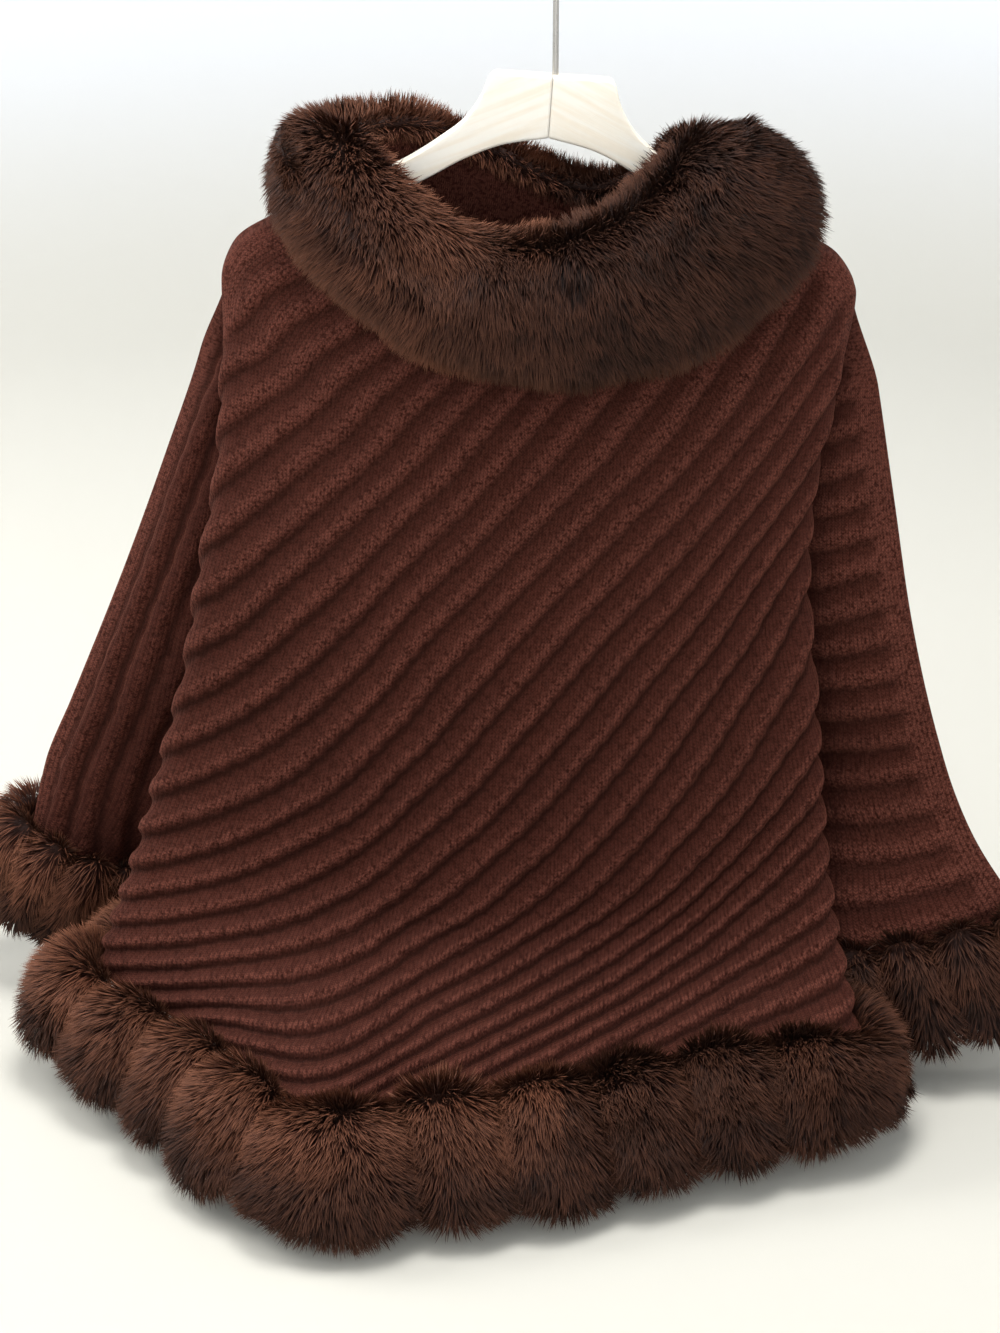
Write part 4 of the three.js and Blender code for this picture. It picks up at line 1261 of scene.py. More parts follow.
@dataclass
class LockedFur:
    """A roll of fur pinched into rounded locks, along a hem or round a cuff."""

    node: str
    edge: Edge
    lift_off: float
    out_share: float
    crispness: Array
    sizes: FurSizes
    floor: float
    inset: float
    sides: int = 40
    parting: float = 1.1  # how far behind the roll's top the fur parts, in radians

    def ovals(self, angle: Array, swell: Array, inside: Array) -> Array:
        """Sections of the roll: ovals, narrower between the locks.

        Args:
            angle: the way round a section, from its side next to the cloth over the outside.
            swell: how full each section is, from 0 between the locks to 1.
            inside: how far inside the roll's own form they lie.

        Returns:
            A grid of points, a section in each row.
        """
        edge = self.edge
        pinch = 1.0 - lerp(0.2, 0.3, self.crispness) * (1.0 - swell)
        long, thick = edge.long / 2.0, edge.thick / 2.0
        centre = edge.points + edge.down * (long - self.lift_off)[:, None]
        centre = centre + edge.out * (edge.thick * self.out_share)[:, None]
        back = (((long * pinch)[:, None] - inside) * np.cos(angle))[..., None]
        out = (((thick * pinch)[:, None] - inside) * np.sin(angle))[..., None]
        return centre[:, None, :] - edge.down[:, None, :] * back + edge.out[:, None, :] * out

    def combing(self, angle: Array) -> Array:
        """How far the fur is combed round: roots of half sines, away from the parting on both sides."""
        outer = np.pi + self.parting
        share = (angle + self.parting) % (2.0 * np.pi)
        over = np.sin(np.pi * share / outer)
        under = -np.sin(np.pi * (share - outer) / (2.0 * np.pi - outer))
        way = np.where(share < outer, over, under)
        return np.sign(way) * np.abs(way) ** 0.5

    def skin(self) -> Skin:
        """Lays out the skin.

        It lies inside the roll by the height of the fur. The fur is combed from a parting behind the
        roll's top over its outside to the far edge, and spreads from the middle of each lock.

        Returns:
            The skin.
        """
        edge, crisp = self.edge, self.crispness
        closed = (edge.closed, True)
        angle = (2.0 * np.pi * np.arange(self.sides) / self.sides)[None, :]
        swell = np.abs(np.sin(np.pi * edge.lock)) ** 0.6
        near_cloth = ease(-0.1, 0.8, np.cos(angle))
        deep = self.inset * (1.0 + 0.3 * crisp * (1.0 - swell))[:, None] * (1.0 - 0.6 * near_cloth)
        base = self.ovals(angle, swell, deep)
        form = self.ovals(angle, swell, np.zeros_like(deep))
        shape = form.shape[:2]
        spread = -np.cos(np.pi * edge.lock) * np.sign(np.sin(np.pi * edge.lock)) * crisp
        spread = np.broadcast_to(0.7 * spread[:, None], shape)
        under = np.clip(-np.sin(angle), 0.0, 1.0)
        wave = Noise(self.sizes.seed + 3).at(form, 30.0)
        lock_length = (1.0 - 0.3 * crisp * (1.0 - swell))[:, None]
        return Skin(
            points=base,
            normals=outer_normals(base, closed)[0],
            comb=combed(form, closed, spread, np.broadcast_to(self.combing(angle), shape) + 1e-3),
            density=np.broadcast_to(1.0 - 0.6 * under, shape),
            length=lock_length * (1.0 + 0.12 * wave) * (1.0 - 0.6 * under),
            lift=lerp(0.42, 0.34, near_cloth) * (1.0 - 0.5 * under) + 0.12 * wave,
            # painted light and shade: lighter at the top beside the cloth, darker towards the far edge, with
            # random waves
            bright=ease(-0.7, 0.9, np.cos(angle)) + 0.2 * wave,
            outside=np.broadcast_to(edge.out[:, None, :], form.shape),
            closed=closed,
        )

    def build(self) -> bpy.types.Object:
        """Makes the fur."""
        return Fur(self.node, self.skin(), self.sizes, self.floor).build()


HEM_LIES_FRONT = Table(
    "at turn long thick",
    (-1.0, 70, 54, 40), (-0.9, 58, 60, 44), (-0.78, 46, 72, 46), (-0.5, 43, 80, 46), (-0.3, 41, 85, 46),
    (0.0, 36, 92, 46), (0.6, 35, 88, 46), (0.8, 44, 70, 40), (0.88, 68, 54, 32), (1.0, 78, 50, 32),
)
HEM_LIES_BACK = Table("at turn long thick", (-1.0, 70, 64, 40), (0.0, 64, 74, 44), (1.0, 70, 64, 36))


def even_steps(points: Array, places: Array, count: int) -> Array:
    """Places at equal steps of length along a line.

    Args:
        points: the line.
        places: the place of each of its points.
        count: how many steps.

    Returns:
        The places, one more than the steps.
    """
    length = np.concatenate([[0.0], np.cumsum(step_lengths(points))])
    return np.interp(np.linspace(0.0, length[-1], count + 1), length, places)


def hem_fur(side: Side, node: str, sizes: FurSizes, floor: float) -> LockedFur:
    """Describes the fur along the front's or the back's hem.

    Args:
        side: front or back.
        node: the solid that it stands for.
        sizes: how the fur is made up.
        floor: the height that it may not pass.

    Returns:
        The fur, ready to build.
    """
    surface = BodySurface(side)
    lies = HEM_LIES_FRONT if side is Side.FRONT else HEM_LIES_BACK
    reach, lobe, per_lobe = 0.99, 58.0, 14
    places = np.linspace(-reach, reach, 400)
    line = surface.points(places, np.ones_like(places))
    locks = round(float(step_lengths(line).sum()) / lobe)
    u = even_steps(line, places, locks * per_lobe)
    one = np.ones_like(u)
    ahead = surface.points(np.minimum(u + 0.01, 1.0), one)
    ahead = ahead - surface.points(np.maximum(u - 0.01, -1.0), one)
    ahead = smooth_along(ahead, 3.0, False)
    away = unit(np.stack([ahead[:, 1], -ahead[:, 0], np.zeros_like(u)], axis=-1)) * -side.value
    turn = np.radians(lies.read("turn", u))[:, None]
    up = np.array([0.0, 0.0, 1.0])
    crispness = lerp(1.0, 0.55, ease(-0.25, 0.15, u))
    edge = Edge(
        surface.points(u, one),
        away * np.cos(turn) - up * np.sin(turn),
        away * np.sin(turn) + up * np.cos(turn),
        lies.read("long", u),
        lies.read("thick", u),
        np.arange(len(u)) / per_lobe,
        False,
    )
    return LockedFur(node, edge, 4.0, 0.2, crispness, sizes, floor, 12.5)


def cuff_fur(sleeve: Sleeve, node: str, sizes: FurSizes, floor: float) -> LockedFur:
    """Describes the fur round a cuff.

    Args:
        sleeve: the sleeve.
        node: the solid that it stands for.
        sizes: how the fur is made up.
        floor: the height that it may not pass.

    Returns:
        The fur, ready to build.
    """
    front, back = (SleeveSurface(sleeve, side) for side in Side)
    lobes, per_lobe = 8, 12

    def edge_at(t: Array) -> Array:
        """The cuff's edge: across the front layer, then back across the back layer."""
        one = np.ones_like(t)
        return np.where((t < 1.0)[:, None], front.points(t, one), back.points(2.0 - t, one))

    places = np.linspace(0.0, 2.0, 401)
    t = even_steps(edge_at(places), places, lobes * per_lobe)[:-1]
    half, end, before = np.array([0.5]), np.array([1.0]), np.array([0.9])
    axis = unit(sum(layer.points(half, end) - layer.points(half, before) for layer in (front, back)))[0]
    ahead = edge_at(np.minimum(t + 0.02, 2.0)) - edge_at(np.maximum(t - 0.02, 0.0))
    ahead = smooth_along(ahead, 3.0, True)
    out = unit(np.cross(ahead, axis)) * -sleeve.hand
    edge = Edge(
        smooth_along(edge_at(t), 1.5, True),
        np.broadcast_to(axis, out.shape),
        out,
        np.full(len(t), 80.0),
        np.full(len(t), 32.0),
        np.arange(len(t)) / per_lobe,
        True,
    )
    return LockedFur(node, edge, 10.0, 0.5, np.ones(len(t)), sizes, floor, 10.0)


# ---------------------------------------------------------------- hanger and hook


def outline(*points: tuple[float, float]) -> Table:
    """A curve through points x and z, its places shared out by the distance between them."""
    line = np.array(points, dtype=float)
    steps = step_lengths(line)
    at = np.concatenate([[0.0], np.cumsum(steps)]) / steps.sum()
    return Table("at x z", *np.column_stack([at, line]).tolist())


HANGER_TOP = outline(
    (0, 0), (33, 0), (36.6, -1.6), (39, -6), (42, -15), (52, -31), (64, -41.5), (84, -56), (110, -71),
    (143, -94), (174, -113),
)
HANGER_UNDERSIDE = outline(
    (0, -38), (26, -43.5), (50, -54), (71, -67), (100, -84), (143, -112), (175, -127), (181, -120),
)


def rounded_oblong(
    half_width: Array, half_height: Array, radius: float, per_corner: int, per_flat: int
) -> Array:
    """Oblong sections with rounded corners: a quarter circle at each corner and even steps between.

    Args:
        half_width: of each section.
        half_height: of each section.
        radius: of the corners.
        per_corner: steps round a corner.
        per_flat: steps along a flat.

    Returns:
        The sections, n by k by 2, anticlockwise.
    """
    corners = []
    quarter = np.linspace(0.0, np.pi / 2.0, per_corner + 1)
    for turn, (side, top) in enumerate([(1, 1), (-1, 1), (-1, -1), (1, -1)]):
        angle = quarter + turn * np.pi / 2.0
        middle_x = side * (half_width - radius)[:, None]
        middle_y = top * (half_height - radius)[:, None]
        x, y = middle_x + radius * np.cos(angle), middle_y + radius * np.sin(angle)
        corners.append(np.stack([x, y], axis=-1))
    share = (np.arange(1, per_flat) / per_flat)[None, :, None]
    pieces = []
    for turn, corner in enumerate(corners):
        after = corners[(turn + 1) % 4]
        pieces += [corner, lerp(corner[:, -1:], after[:, :1], share)]
    return np.concatenate(pieces, axis=1)


@dataclass
class Hanger:
    """A pale wooden hanger in two halves, joined under its steel hook; sizes in millimetres."""

    thick: float = 12.0
    top_z: float = -100.0
    roll: float = 3.9
    joint_gap: float = 0.3
    edge: float = 2.2
    grain_slope: float = 24.0
    stations: int = 110

    def half(self, hand: int, node: str) -> bpy.types.Object:
        """Makes one half: a rounded oblong carried along the arm between its top and its underside.

        Args:
            hand: -1 for the left half and 1 for the right.
            node: the solid that it stands for.

        Returns:
            The half.
        """
        s = np.linspace(0.0, 1.0, self.stations)
        edges = (HANGER_TOP, HANGER_UNDERSIDE)
        top, under = (np.stack([edge.read("x", s), edge.read("z", s)], axis=-1) for edge in edges)
        across = unit(top - under)
        half_height = np.linalg.norm(top - under, axis=-1) / 2.0
        section = rounded_oblong(np.full_like(s, self.thick / 2.0), half_height, self.edge, 5, 5)
        flat = (top + under)[:, None, :] / 2.0 + across[:, None, :] * section[..., 1:]
        x = np.maximum(flat[..., 0], self.joint_gap / 2.0)
        turn = math.radians(self.roll)
        grain = math.radians(self.grain_slope)
        uv = np.stack(
            [
                x * math.cos(grain) - flat[..., 1] * math.sin(grain) + 500.0 * (hand > 0),
                x * math.sin(grain) + flat[..., 1] * math.cos(grain) + 0.4 * section[..., 0],
            ],
            axis=-1,
        )
        x = x * hand
        points = np.stack(
            [
                x * math.cos(turn) + flat[..., 1] * math.sin(turn),
                section[..., 0] * hand,
                flat[..., 1] * math.cos(turn) - x * math.sin(turn) + self.top_z,
            ],
            axis=-1,
        )
        parts = MeshParts()
        parts.add_roll(points * MM, uv * MM, False)
        piece = parts.build(node.replace("_", "_half_"))
        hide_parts(node)
        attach(piece, BODY)
        LOG.info("%s: %d faces", piece.name, len(piece.data.polygons))
        return piece


@dataclass
class Hook:
    """The steel wire: a straight stem, a bend to one side, and a hook with a rounded end."""

    radius: float = 1.9
    stem_x: float = 1.5
    hook_radius: float = 19.0
    turn: float = 205.0
    neck: float = 34.0
    foot_z: float = -122.0
    sides: int = 24

    def path(self) -> Array:
        """The wire's middle line: stem, a cubic curve with upright ends, then an arc.

        Returns:
            Its points.
        """
        ring = self.hook_radius + self.radius
        centre = -self.hook_radius
        stem = np.linspace(self.foot_z, centre - self.neck, 12, endpoint=False)
        t = np.linspace(0.0, 1.0, 32, endpoint=False)
        knots_x = (self.stem_x, self.stem_x, ring, ring)
        knots_z = (centre - self.neck, centre - self.neck / 2.0, centre - self.neck / 2.0, centre)
        weights = ((1 - t) ** 3, 3 * t * (1 - t) ** 2, 3 * t * t * (1 - t), t**3)
        angle = np.radians(np.linspace(0.0, self.turn, 72))
        x = np.concatenate([np.full(len(stem), self.stem_x), np.dot(knots_x, weights), ring * np.cos(angle)])
        z = np.concatenate([stem, np.dot(knots_z, weights), centre + ring * np.sin(angle)])
        return np.stack([x, np.zeros_like(x), z], axis=-1)

    def build(self) -> bpy.types.Object:
        """Makes the wire: circles square to the path, shrinking to a dome at the free end."""
        line = self.path()
        tangent = unit(np.gradient(line, axis=0))
        dome = np.linspace(0.0, 0.98, 8)[1:] * self.radius
        line = np.concatenate([line, line[-1] + tangent[-1] * dome[:, None]])
        tangent = np.concatenate([tangent, np.repeat(tangent[-1:], len(dome), axis=0)])
        size = np.full(len(line), self.radius)
        size[-len(dome) :] = np.sqrt(self.radius**2 - dome**2)
        across = np.array([0.0, 1.0, 0.0])
        outwards = np.cross(tangent, across)
        angle = (2.0 * np.pi * np.arange(self.sides) / self.sides)[None, :, None]
        spoke = across * np.cos(angle) + outwards[:, None, :] * np.sin(angle)
        points = line[:, None, :] + spoke * size[:, None, None]
        parts = MeshParts()
        parts.add_roll(points * MM, points[..., ::2] * MM, False)
        piece = parts.build("hook_wire")
        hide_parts("hook")
        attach(piece, BODY)
        LOG.info("%s: %d faces", piece.name, len(piece.data.polygons))
        return piece


# ---------------------------------------------------------------- finishes

Colour = tuple[float, float, float]
Socket = bpy.types.NodeSocket
Inputs = dict[str | int, object]


def linear(red: int, green: int, blue: int) -> tuple[float, float, float, float]:
    """A colour given from 0 to 255 on screen, as the renderer's own light values."""
    shares = np.array([red, green, blue]) / 255.0
    light = np.where(shares <= 0.04045, shares / 12.92, ((shares + 0.055) / 1.055) ** 2.4)
    return (*light.tolist(), 1.0)


class Nodes:
    """A node tree, with short ways to add and join its nodes."""

    def __init__(self, tree: bpy.types.NodeTree) -> None:
        """Takes the tree to add to."""
        self.tree = tree

    def feed(self, socket: Socket, value: object) -> None:
        """Joins a socket to another, or sets its value."""
        if isinstance(value, bpy.types.NodeSocket):
            self.tree.links.new(value, socket)
        else:
            socket.default_value = value

    def add(self, kind: str, inputs: Inputs | None = None, **settings: object) -> bpy.types.Node:
        """Adds a node.

        Args:
            kind: its type, without the ShaderNode in front.
            inputs: what its sockets are set to or joined to.
            settings: its properties.

        Returns:
            The node.
        """
        node = self.tree.nodes.new("ShaderNode" + kind)
        for name, value in settings.items():
            setattr(node, name, value)
        for name, value in (inputs or {}).items():
            self.feed(node.inputs[name], value)
        return node

    def uv(self) -> Socket:
        """Adds the mesh's own UV map."""
        return self.add("UVMap", uv_map="UVMap").outputs[0]

    def place(self) -> Socket:
        """Adds the object's own coordinates."""
        return self.add("TexCoord").outputs["Object"]

    def math(self, operation: str, *values: object, clamp: bool = False) -> Socket:
        """Adds a sum on numbers and gives its result."""
        node = self.add("Math", dict(enumerate(values)), operation=operation, use_clamp=clamp)
        return node.outputs[0]

    def mix(self, factor: object, a: object, b: object, blend: str = "MIX") -> Socket:
        """Adds a mix of two colours and gives its result."""
        node = self.add("Mix", {0: factor, 6: a, 7: b}, data_type="RGBA", blend_type=blend)
        return node.outputs[2]

    def times(self, colour: object, gain: Socket) -> Socket:
        """Adds a colour made lighter or darker by a number and gives its result."""
        shade = self.add("CombineColor", {0: gain, 1: gain, 2: gain}).outputs[0]
        return self.mix(1.0, colour, shade, "MULTIPLY")

    def noise(self, place: Socket, scale: float, detail: float = 2.0) -> Socket:
        """Adds noise from 0 to 1 whose lumps repeat "scale" times a metre."""
        return self.add("TexNoise", {"Vector": place, "Scale": scale, "Detail": detail}).outputs[0]

    def step(self, value: Socket, low: float, high: float) -> Socket:
        """Adds a smooth step from 0 at low to 1 at high."""
        node = self.add("MapRange", {0: value, 1: low, 2: high}, interpolation_type="SMOOTHSTEP")
        return node.outputs[0]

    def ramp(self, value: Socket, *stops: tuple[float, tuple[float, ...]]) -> Socket:
        """Adds a ramp of colours and gives its result."""
        node = self.add("ValToRGB", {0: value})
        elements = node.color_ramp.elements
        while len(elements) < len(stops):
            elements.new(0.5)
        for element, (place, colour) in zip(elements, stops):
            element.position = place
            element.color = colour
        return node.outputs[0]


class Groups:
    """The node groups that several finishes share, each made once."""

    def __init__(self) -> None:
        """Makes the groups."""
        self.mottle = self.make_mottle()
        self.fluff = self.make_fluff()

    @staticmethod
    def start(
        name: str, inputs: dict[str, str], output: tuple[str, str]
    ) -> tuple[Nodes, dict[str, Socket], Socket]:
        """Starts a group.

        Args:
            name: its name.
            inputs: its inputs' socket types by name.
            output: the name and socket type of its output.

        Returns:
            Its nodes, its inputs and the socket that takes its result.
        """
        tree = bpy.data.node_groups.new(name, "ShaderNodeTree")
        for label, kind in inputs.items():
            tree.interface.new_socket(name=label, in_out="INPUT", socket_type=kind)
        tree.interface.new_socket(name=output[0], in_out="OUTPUT", socket_type=output[1])
        source = tree.nodes.new("NodeGroupInput")
        result = tree.nodes.new("NodeGroupOutput")
        return Nodes(tree), {label: source.outputs[label] for label in inputs}, result.inputs[0]

    def make_mottle(self) -> bpy.types.NodeTree:
        """A colour made lighter and darker by noise at two sizes."""
        inputs = {"Colour": "NodeSocketColor", "Place": "NodeSocketVector"}
        inputs |= dict.fromkeys(("Broad", "Fine", "Broad Share", "Fine Share"), "NodeSocketFloat")
        nodes, given, result = self.start("mottle", inputs, ("Colour", "NodeSocketColor"))
        total: object = 1.0
        for size, share in (("Broad", "Broad Share"), ("Fine", "Fine Share")):
            noise = nodes.noise(given["Place"], given[size], 3.0)
            swing = nodes.math("MULTIPLY", nodes.math("SUBTRACT", noise, 0.5), given[share])
            total = nodes.math("ADD", total, swing)
        nodes.feed(result, nodes.times(given["Colour"], total))
        return nodes.tree

    def make_fluff(self) -> bpy.types.NodeTree:
        """The height of short loose fibres: fine noise stretched in two directions."""
        inputs = {"Place": "NodeSocketVector", "Size": "NodeSocketFloat"}
        nodes, given, result = self.start("fluff", inputs, ("Height", "NodeSocketFloat"))
        parts = []
        for turn in (0.6, -0.7):
            inputs = {"Vector": given["Place"], "Rotation": (turn, 0.3, turn), "Scale": (1.0, 0.25, 1.0)}
            parts.append(nodes.noise(nodes.add("Mapping", inputs).outputs[0], given["Size"], 2.0))
        nodes.feed(result, nodes.math("MAXIMUM", *parts))
        return nodes.tree

    @staticmethod
    def use(nodes: Nodes, group: bpy.types.NodeTree, inputs: dict[str, object]) -> Socket:
        """Places a group in a material and gives its result."""
        node = nodes.tree.nodes.new("ShaderNodeGroup")
        node.node_tree = group
        for name, value in inputs.items():
            nodes.feed(node.inputs[name], value)
        return node.outputs[0]


@dataclass(frozen=True)
class Finish:
    """What every finish has: a name, and a principled surface with sockets set directly."""

    name: str

    def start(self, sockets: dict[str, object]) -> tuple[bpy.types.Material, Nodes, bpy.types.Node]:
        """Makes a material.

        Args:
            sockets: values for the surface's own sockets.

        Returns:
            The material, its nodes and its surface.
        """
        material = bpy.data.materials.new(self.name)
        material.use_nodes = True
        nodes = Nodes(material.node_tree)
        surface = material.node_tree.nodes["Principled BSDF"]
        for name, value in sockets.items():
            surface.inputs[name].default_value = value
        return material, nodes, surface

    @staticmethod
    def colour(
        nodes: Nodes, surface: bpy.types.Node, groups: Groups, place: Socket, colour: object, *noises: float
    ) -> None:
        """Gives the surface its colour, mottled.

        Args:
            nodes: the material's nodes.
            surface: its surface.
            groups: the shared groups.
            place: the coordinates of the mottling.
            colour: the colour before it.
            noises: how often its broad and fine lumps repeat a metre, then the share of each.
        """
        names = ("Broad", "Fine", "Broad Share", "Fine Share")
        mottled = {"Colour": colour, "Place": place, **dict(zip(names, noises))}
        nodes.feed(surface.inputs["Base Color"], Groups.use(nodes, groups.mottle, mottled))


@dataclass(frozen=True)
class KnitFinish(Finish):
    """Brushed wool-like knit: a stocking stitch with a pale fuzz, painted shade in the valleys and between
    the stitches, and a painted highlight on the crests.
    """

    name: str = "knit"
    cloth: tuple[float, ...] = linear(54, 22, 14)
    # painted shade colour for the ribs' valleys, their steps and the grooves between stitches
    valley_shade: tuple[float, ...] = linear(29, 8, 3)
    # painted highlight colour for the ribs' crests
    crest_highlight: tuple[float, ...] = linear(100, 56, 45)
    wale: float = 0.0026
    course: float = 0.0021

    def stitches(self, nodes: Nodes) -> Socket:
        """The stitches' height: slanted legs that meet in a V, between upright grooves.

        Args:
            nodes: the material's nodes.

        Returns:
            A height from 0 to 1.
        """
        uv = nodes.uv()
        parts = nodes.add("SeparateXYZ", {0: uv}).outputs
        column = nodes.math("FRACT", nodes.math("DIVIDE", parts[0], self.wale))
        off = nodes.math("MULTIPLY", nodes.math("ABSOLUTE", nodes.math("SUBTRACT", column, 0.5)), 2.0)
        row = nodes.math("ADD", nodes.math("DIVIDE", parts[1], self.course), nodes.math("MULTIPLY", off, 0.8))
        wave = nodes.math("SINE", nodes.math("MULTIPLY", row, 2.0 * math.pi))
        leg = nodes.math("MULTIPLY_ADD", wave, 0.3, 0.7)
        groove = nodes.math("SUBTRACT", 1.0, nodes.math("POWER", off, 4.0))
        return nodes.math("MULTIPLY", leg, groove)

    def build(self, groups: Groups) -> bpy.types.Material:
        """Makes the material."""
        sockets = {
            "Roughness": 0.95,
            "Specular IOR Level": 0.12,
            "Sheen Weight": 0.16,
            "Sheen Roughness": 0.4,
            "Sheen Tint": linear(206, 120, 92),
        }
        material, nodes, surface = self.start(sockets)
        place = nodes.place()
        ribs = nodes.add("Attribute", attribute_name="ribs").outputs["Vector"]
        count, along, painted_strength = nodes.add("SeparateXYZ", {0: ribs}).outputs
        row = nodes.math("MULTIPLY_ADD", nodes.math("FLOOR", count), RIB_STAGGER, along)
        across = self.from_middle(nodes, count)
        # painted shade: darker in the valleys between ribs, and a little at the seams between the ribs' steps
        valley_shade = nodes.math("MULTIPLY", nodes.step(across, 0.62, 1.0), painted_strength)
        step = nodes.math("MULTIPLY", nodes.step(self.from_middle(nodes, row), 0.7, 1.0), painted_strength)
        shaded_hollow = nodes.math("MAXIMUM", valley_shade, nodes.math("MULTIPLY", step, 0.3))
        stitches = self.stitches(nodes)
        fluff = Groups.use(nodes, groups.fluff, {"Place": place, "Size": 480.0})
        # painted highlight: pale fuzz, a little everywhere as its own colour, much more on the crests
        high = self.from_middle(nodes, nodes.math("SUBTRACT", count, 0.2))
        crest_highlight = nodes.math("SUBTRACT", 1.0, nodes.math("MULTIPLY", high, painted_strength))
        ridge = nodes.math("MULTIPLY_ADD", nodes.step(crest_highlight, 0.5, 0.9), 0.62, 0.28)
        pale = nodes.math("MULTIPLY", ridge, nodes.step(fluff, 0.4, 0.62))
        colour = nodes.mix(pale, self.cloth, self.crest_highlight)
        # paints the shade into the valleys and at the steps
        colour = nodes.mix(nodes.math("MULTIPLY", shaded_hollow, 0.7), colour, self.valley_shade)
        # painted shade between the stitch legs
        dark = nodes.math("MULTIPLY", nodes.math("SUBTRACT", 1.0, stitches), 0.7)
        colour = nodes.mix(dark, colour, self.valley_shade)
        self.colour(nodes, surface, groups, place, colour, 32.0, 560.0, 0.3, 0.65)
        height = nodes.math("MULTIPLY_ADD", fluff, 0.7, nodes.math("MULTIPLY", stitches, 0.4))
        height = nodes.math("MULTIPLY_ADD", shaded_hollow, -1.2, height)
        bump = nodes.add("Bump", {"Height": height, "Strength": 0.8, "Distance": 0.001})
        nodes.feed(surface.inputs["Normal"], bump.outputs[0])
        return material

    @staticmethod
    def from_middle(nodes: Nodes, count: Socket) -> Socket:
        """How far a place lies from the middle between two whole counts, from 0 to 1."""
        across = nodes.math("SUBTRACT", nodes.math("FRACT", count), 0.5)
        return nodes.math("MULTIPLY", nodes.math("ABSOLUTE", across), 2.0)


@dataclass(frozen=True)
class FurFinish(Finish):
    """Dense plush fur: near black at the roots, warm brown along the strands, taupe at the tips."""

    name: str = "fur"
    root: tuple[float, ...] = linear(31, 13, 6)
    middle: tuple[float, ...] = linear(48, 22, 12)
    tip: tuple[float, ...] = linear(110, 70, 51)

    def build(self, groups: Groups) -> bpy.types.Material:
        """Makes the material."""
        sockets = {
            "Roughness": 0.6,
            "Specular IOR Level": 0.12,
            "Sheen Weight": 0.05,
            "Sheen Tint": linear(190, 140, 115),
        }
        material, nodes, surface = self.start(sockets)
        uv = nodes.uv()
        tone, along = nodes.add("SeparateXYZ", {0: uv}).outputs[:2]
        colour = nodes.ramp(along, (0.0, self.root), (0.5, self.middle), (1.0, self.tip))
        # the tone, random and with the skin's painted light and shade, makes the colour lighter or darker
        gain = nodes.add("MapRange", {0: tone, 3: 0.05, 4: 1.55}).outputs[0]
        colour = nodes.times(colour, gain)
        place = nodes.place()
        self.colour(nodes, surface, groups, place, colour, 22.0, 120.0, 0.5, 0.35)
        return material


@dataclass(frozen=True)
class WoodFinish(Finish):
    """Pale sanded wood whose grain runs along each half."""

    name: str = "hanger_wood"
    early: tuple[float, ...] = linear(255, 249, 235)
    late: tuple[float, ...] = linear(249, 236, 213)

    def build(self, groups: Groups) -> bpy.types.Material:
        """Makes the material: noise stretched along the grain, warped a little across it."""
        sockets = {"Roughness": 0.48, "Specular IOR Level": 0.35}
        material, nodes, surface = self.start(sockets)
        uv = nodes.uv()
        stretched = nodes.add("Mapping", {"Vector": uv, "Scale": (0.06, 1.0, 1.0)}).outputs[0]
        bands = nodes.step(nodes.noise(stretched, 170.0, 3.0), 0.42, 0.68)
        pores = nodes.noise(stretched, 1400.0, 2.0)
        colour = nodes.mix(nodes.math("MULTIPLY", bands, 0.75), self.early, self.late)
        place = nodes.place()
        self.colour(nodes, surface, groups, place, colour, 14.0, 260.0, 0.08, 0.05)
        nodes.feed(surface.inputs["Roughness"], nodes.math("MULTIPLY_ADD", pores, 0.2, 0.4))
        bump = nodes.add("Bump", {"Height": pores, "Strength": 0.25, "Distance": 0.0003})
        nodes.feed(surface.inputs["Normal"], bump.outputs[0])
        return material


@dataclass(frozen=True)
class SteelFinish(Finish):
    """Drawn steel wire with faint marks along it."""

    name: str = "hook_steel"

    def build(self, groups: Groups) -> bpy.types.Material:
        """Makes the material."""
        material, nodes, surface = self.start({"Metallic": 1.0})
        place = nodes.place()
        self.colour(nodes, surface, groups, place, linear(176, 172, 166), 60.0, 900.0, 0.1, 0.12)
        marks = nodes.noise(place, 700.0, 2.0)
        nodes.feed(surface.inputs["Roughness"], nodes.math("MULTIPLY_ADD", marks, 0.2, 0.2))
        return material


@dataclass(frozen=True)
class BackdropFinish(Finish):
    """A plain pale floor that turns to a cooler white above, and that shows from its inside only."""

    name: str = "backdrop"

    def build(self, groups: Groups) -> bpy.types.Material:
        """Makes the material."""
        material, nodes, surface = self.start({"Roughness": 0.85, "Specular IOR Level": 0.1})
        place = nodes.place()
        height = nodes.add("SeparateXYZ", {0: place}).outputs[2]
        colour = nodes.mix(nodes.step(height, -0.75, -0.3), linear(205, 202, 191), linear(237, 240, 245))
        nodes.feed(surface.inputs["Base Color"], colour)
        facing = nodes.math("SUBTRACT", 1.0, nodes.add("NewGeometry").outputs["Backfacing"])
        nodes.feed(surface.inputs["Alpha"], facing)
        return material


# ---------------------------------------------------------------- studio


Place = tuple[float, float, float]


@dataclass(frozen=True)
class Lamp:
    """A soft square light: its place, its side in metres, its power in watts and its colour."""

    name: str
    place: Place
    size: float
    power: float
    colour: Colour = (1.0, 1.0, 1.0)


LAMPS = (
    Lamp("key", (-0.7, -1.3, 1.7), 0.9, 8.0, (1.0, 0.985, 0.96)),
    Lamp("fill", (0.0, -2.0, 0.3), 1.4, 8.0),
    Lamp("top", (0.0, -0.1, 1.9), 1.2, 52.0),
    Lamp("rim", (-1.8, 0.4, 0.8), 1.0, 28.0),
)


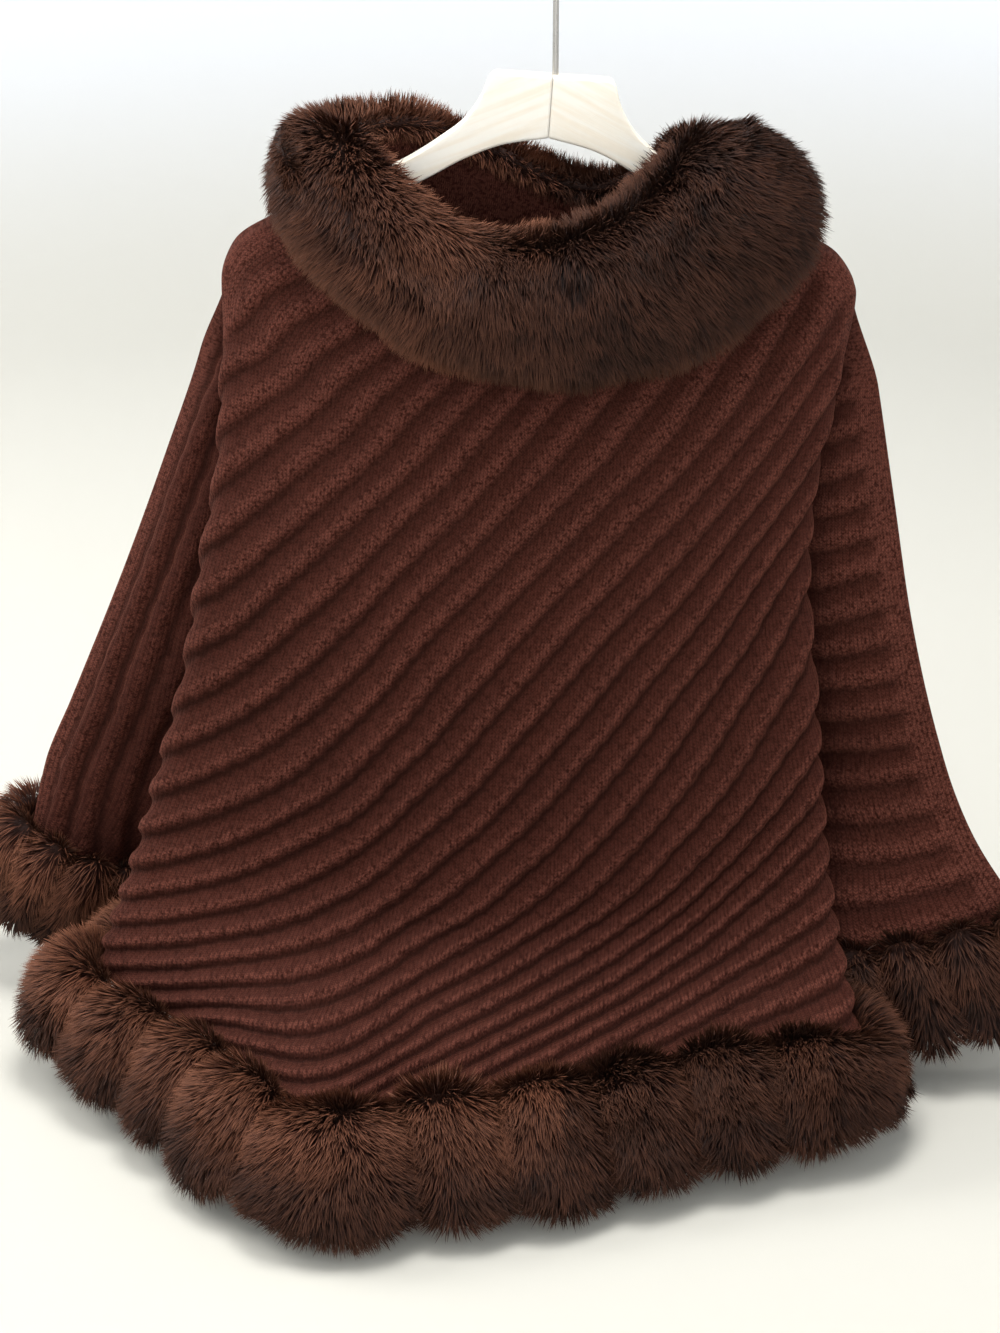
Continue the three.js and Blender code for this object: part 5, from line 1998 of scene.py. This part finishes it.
@dataclass
class Studio:
    """Camera, pale floor and soft light; sizes in metres."""

    floor: float
    eye: Place = (-0.03184, -1.76165, 0.22782)
    target: Place = (-0.03184, 0.0, -0.48393)
    lit: Place = (0.0, -0.05, -0.4)  # where the lights are turned to
    lens: float = 78.94

    def build(self, groups: Groups) -> None:
        """Makes the camera, the backdrop and the lights."""
        bpy.context.scene.view_settings.view_transform = "Standard"
        self.camera()
        backdrop = self.backdrop()
        backdrop.data.materials.append(BackdropFinish().build(groups))
        for lamp in LAMPS:
            self.light(lamp)
        world = bpy.data.worlds.new("studio")
        bpy.context.scene.world = world
        world.use_nodes = True
        background = world.node_tree.nodes["Background"]
        background.inputs[0].default_value = (0.96, 0.97, 1.0, 1.0)
        background.inputs[1].default_value = 0.22

    def camera(self) -> None:
        """Makes the camera and turns it to its target."""
        data = bpy.data.cameras.new("camera")
        data.lens = self.lens
        data.sensor_width = 36.0
        bpy.context.scene.camera = self.aim(data, self.eye, self.target)

    def backdrop(self) -> bpy.types.Object:
        """Makes the floor: a round bowl, flat below, that rises on all sides by a quarter circle.

        Returns:
            The backdrop.
        """
        radius, flat, top, around = 0.9, 1.6, 4.5, 96
        angle = np.linspace(0.0, np.pi / 2.0, 25)
        out = np.concatenate([[0.01], flat + radius * np.sin(angle), [flat + radius]])
        z = np.concatenate([[0.0], radius * (1.0 - np.cos(angle)), [top]]) + self.floor
        turn = 2.0 * np.pi * np.arange(around) / around
        x, y = np.outer(np.cos(turn), out), np.outer(np.sin(turn), out)
        points = np.stack([x, y, np.broadcast_to(z, x.shape)], axis=-1)
        parts = MeshParts()
        first = parts.add_points(points, points[..., :2], np.zeros_like(points))
        parts.add_grid(first, around, len(z), (True, False), True)
        backdrop = parts.build("backdrop")
        backdrop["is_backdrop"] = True
        return backdrop

    def light(self, lamp: Lamp) -> None:
        """Makes one soft square light turned to the garment."""
        data = bpy.data.lights.new(lamp.name, "AREA")
        data.size = lamp.size
        data.energy = lamp.power
        data.color = lamp.colour
        self.aim(data, lamp.place, self.lit)

    @staticmethod
    def aim(data: bpy.types.ID, place: Place, target: Place) -> bpy.types.Object:
        """Puts a camera or a light in its place, turned to its target."""
        piece = bpy.data.objects.new(data.name, data)
        piece.location = place
        piece.rotation_euler = (Vector(target) - Vector(place)).to_track_quat("-Z", "Y").to_euler()
        bpy.context.scene.collection.objects.link(piece)
        return piece


# ---------------------------------------------------------------- the garment


def main() -> None:
    """Builds the studio, the cloth, the fur and the hanger in order."""
    logging.basicConfig(level=logging.INFO, format="%(message)s")
    floor = CAD_BOX[0][2]
    lowest = floor / MM
    groups = Groups()
    Studio(floor).build(groups)
    left, right = LEFT_SLEEVE, RIGHT_SLEEVE
    cloth = [
        body_panel(Side.FRONT, "front", 280, 320, 101),
        body_panel(Side.BACK, "back", 224, 264, 102),
        sleeve_panel(left, Side.FRONT, True, "sleeve_left_front", 103),
        sleeve_panel(left, Side.BACK, False, "sleeve_left_back", 104),
        sleeve_panel(right, Side.FRONT, False, "sleeve_right_front", 105),
        sleeve_panel(right, Side.BACK, True, "sleeve_right_back", 106),
    ]
    furs = [
        CollarFur(lowest),
        hem_fur(Side.FRONT, "hem_fur_front", FurSizes(strands=78000, length=21.0, seed=12), lowest),
        hem_fur(Side.BACK, "hem_fur_back", FurSizes(strands=30000, length=21.0, seed=13), lowest),
    ]
    for sleeve, side, seed in ((left, "left", 14), (right, "right", 15)):
        sizes = FurSizes(strands=22000, length=19.0, width=0.9, seed=seed)
        furs.append(cuff_fur(sleeve, f"cuff_fur_{side}", sizes, lowest))
    knit, fur = KnitFinish().build(groups), FurFinish().build(groups)
    wood, steel = WoodFinish().build(groups), SteelFinish().build(groups)
    for part in cloth:
        part.build().data.materials.append(knit)
    for part in furs:
        part.build().data.materials.append(fur)
    hanger = Hanger()
    for hand, side in ((-1, "left"), (1, "right")):
        hanger.half(hand, f"hanger_{side}").data.materials.append(wood)
    Hook().build().data.materials.append(steel)
    boxes = {"cad": CAD_BOX, "visual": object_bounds()}
    {name: [list(corner) for corner in box] for name, box in boxes.items()}


if __name__ == "__main__":
    main()
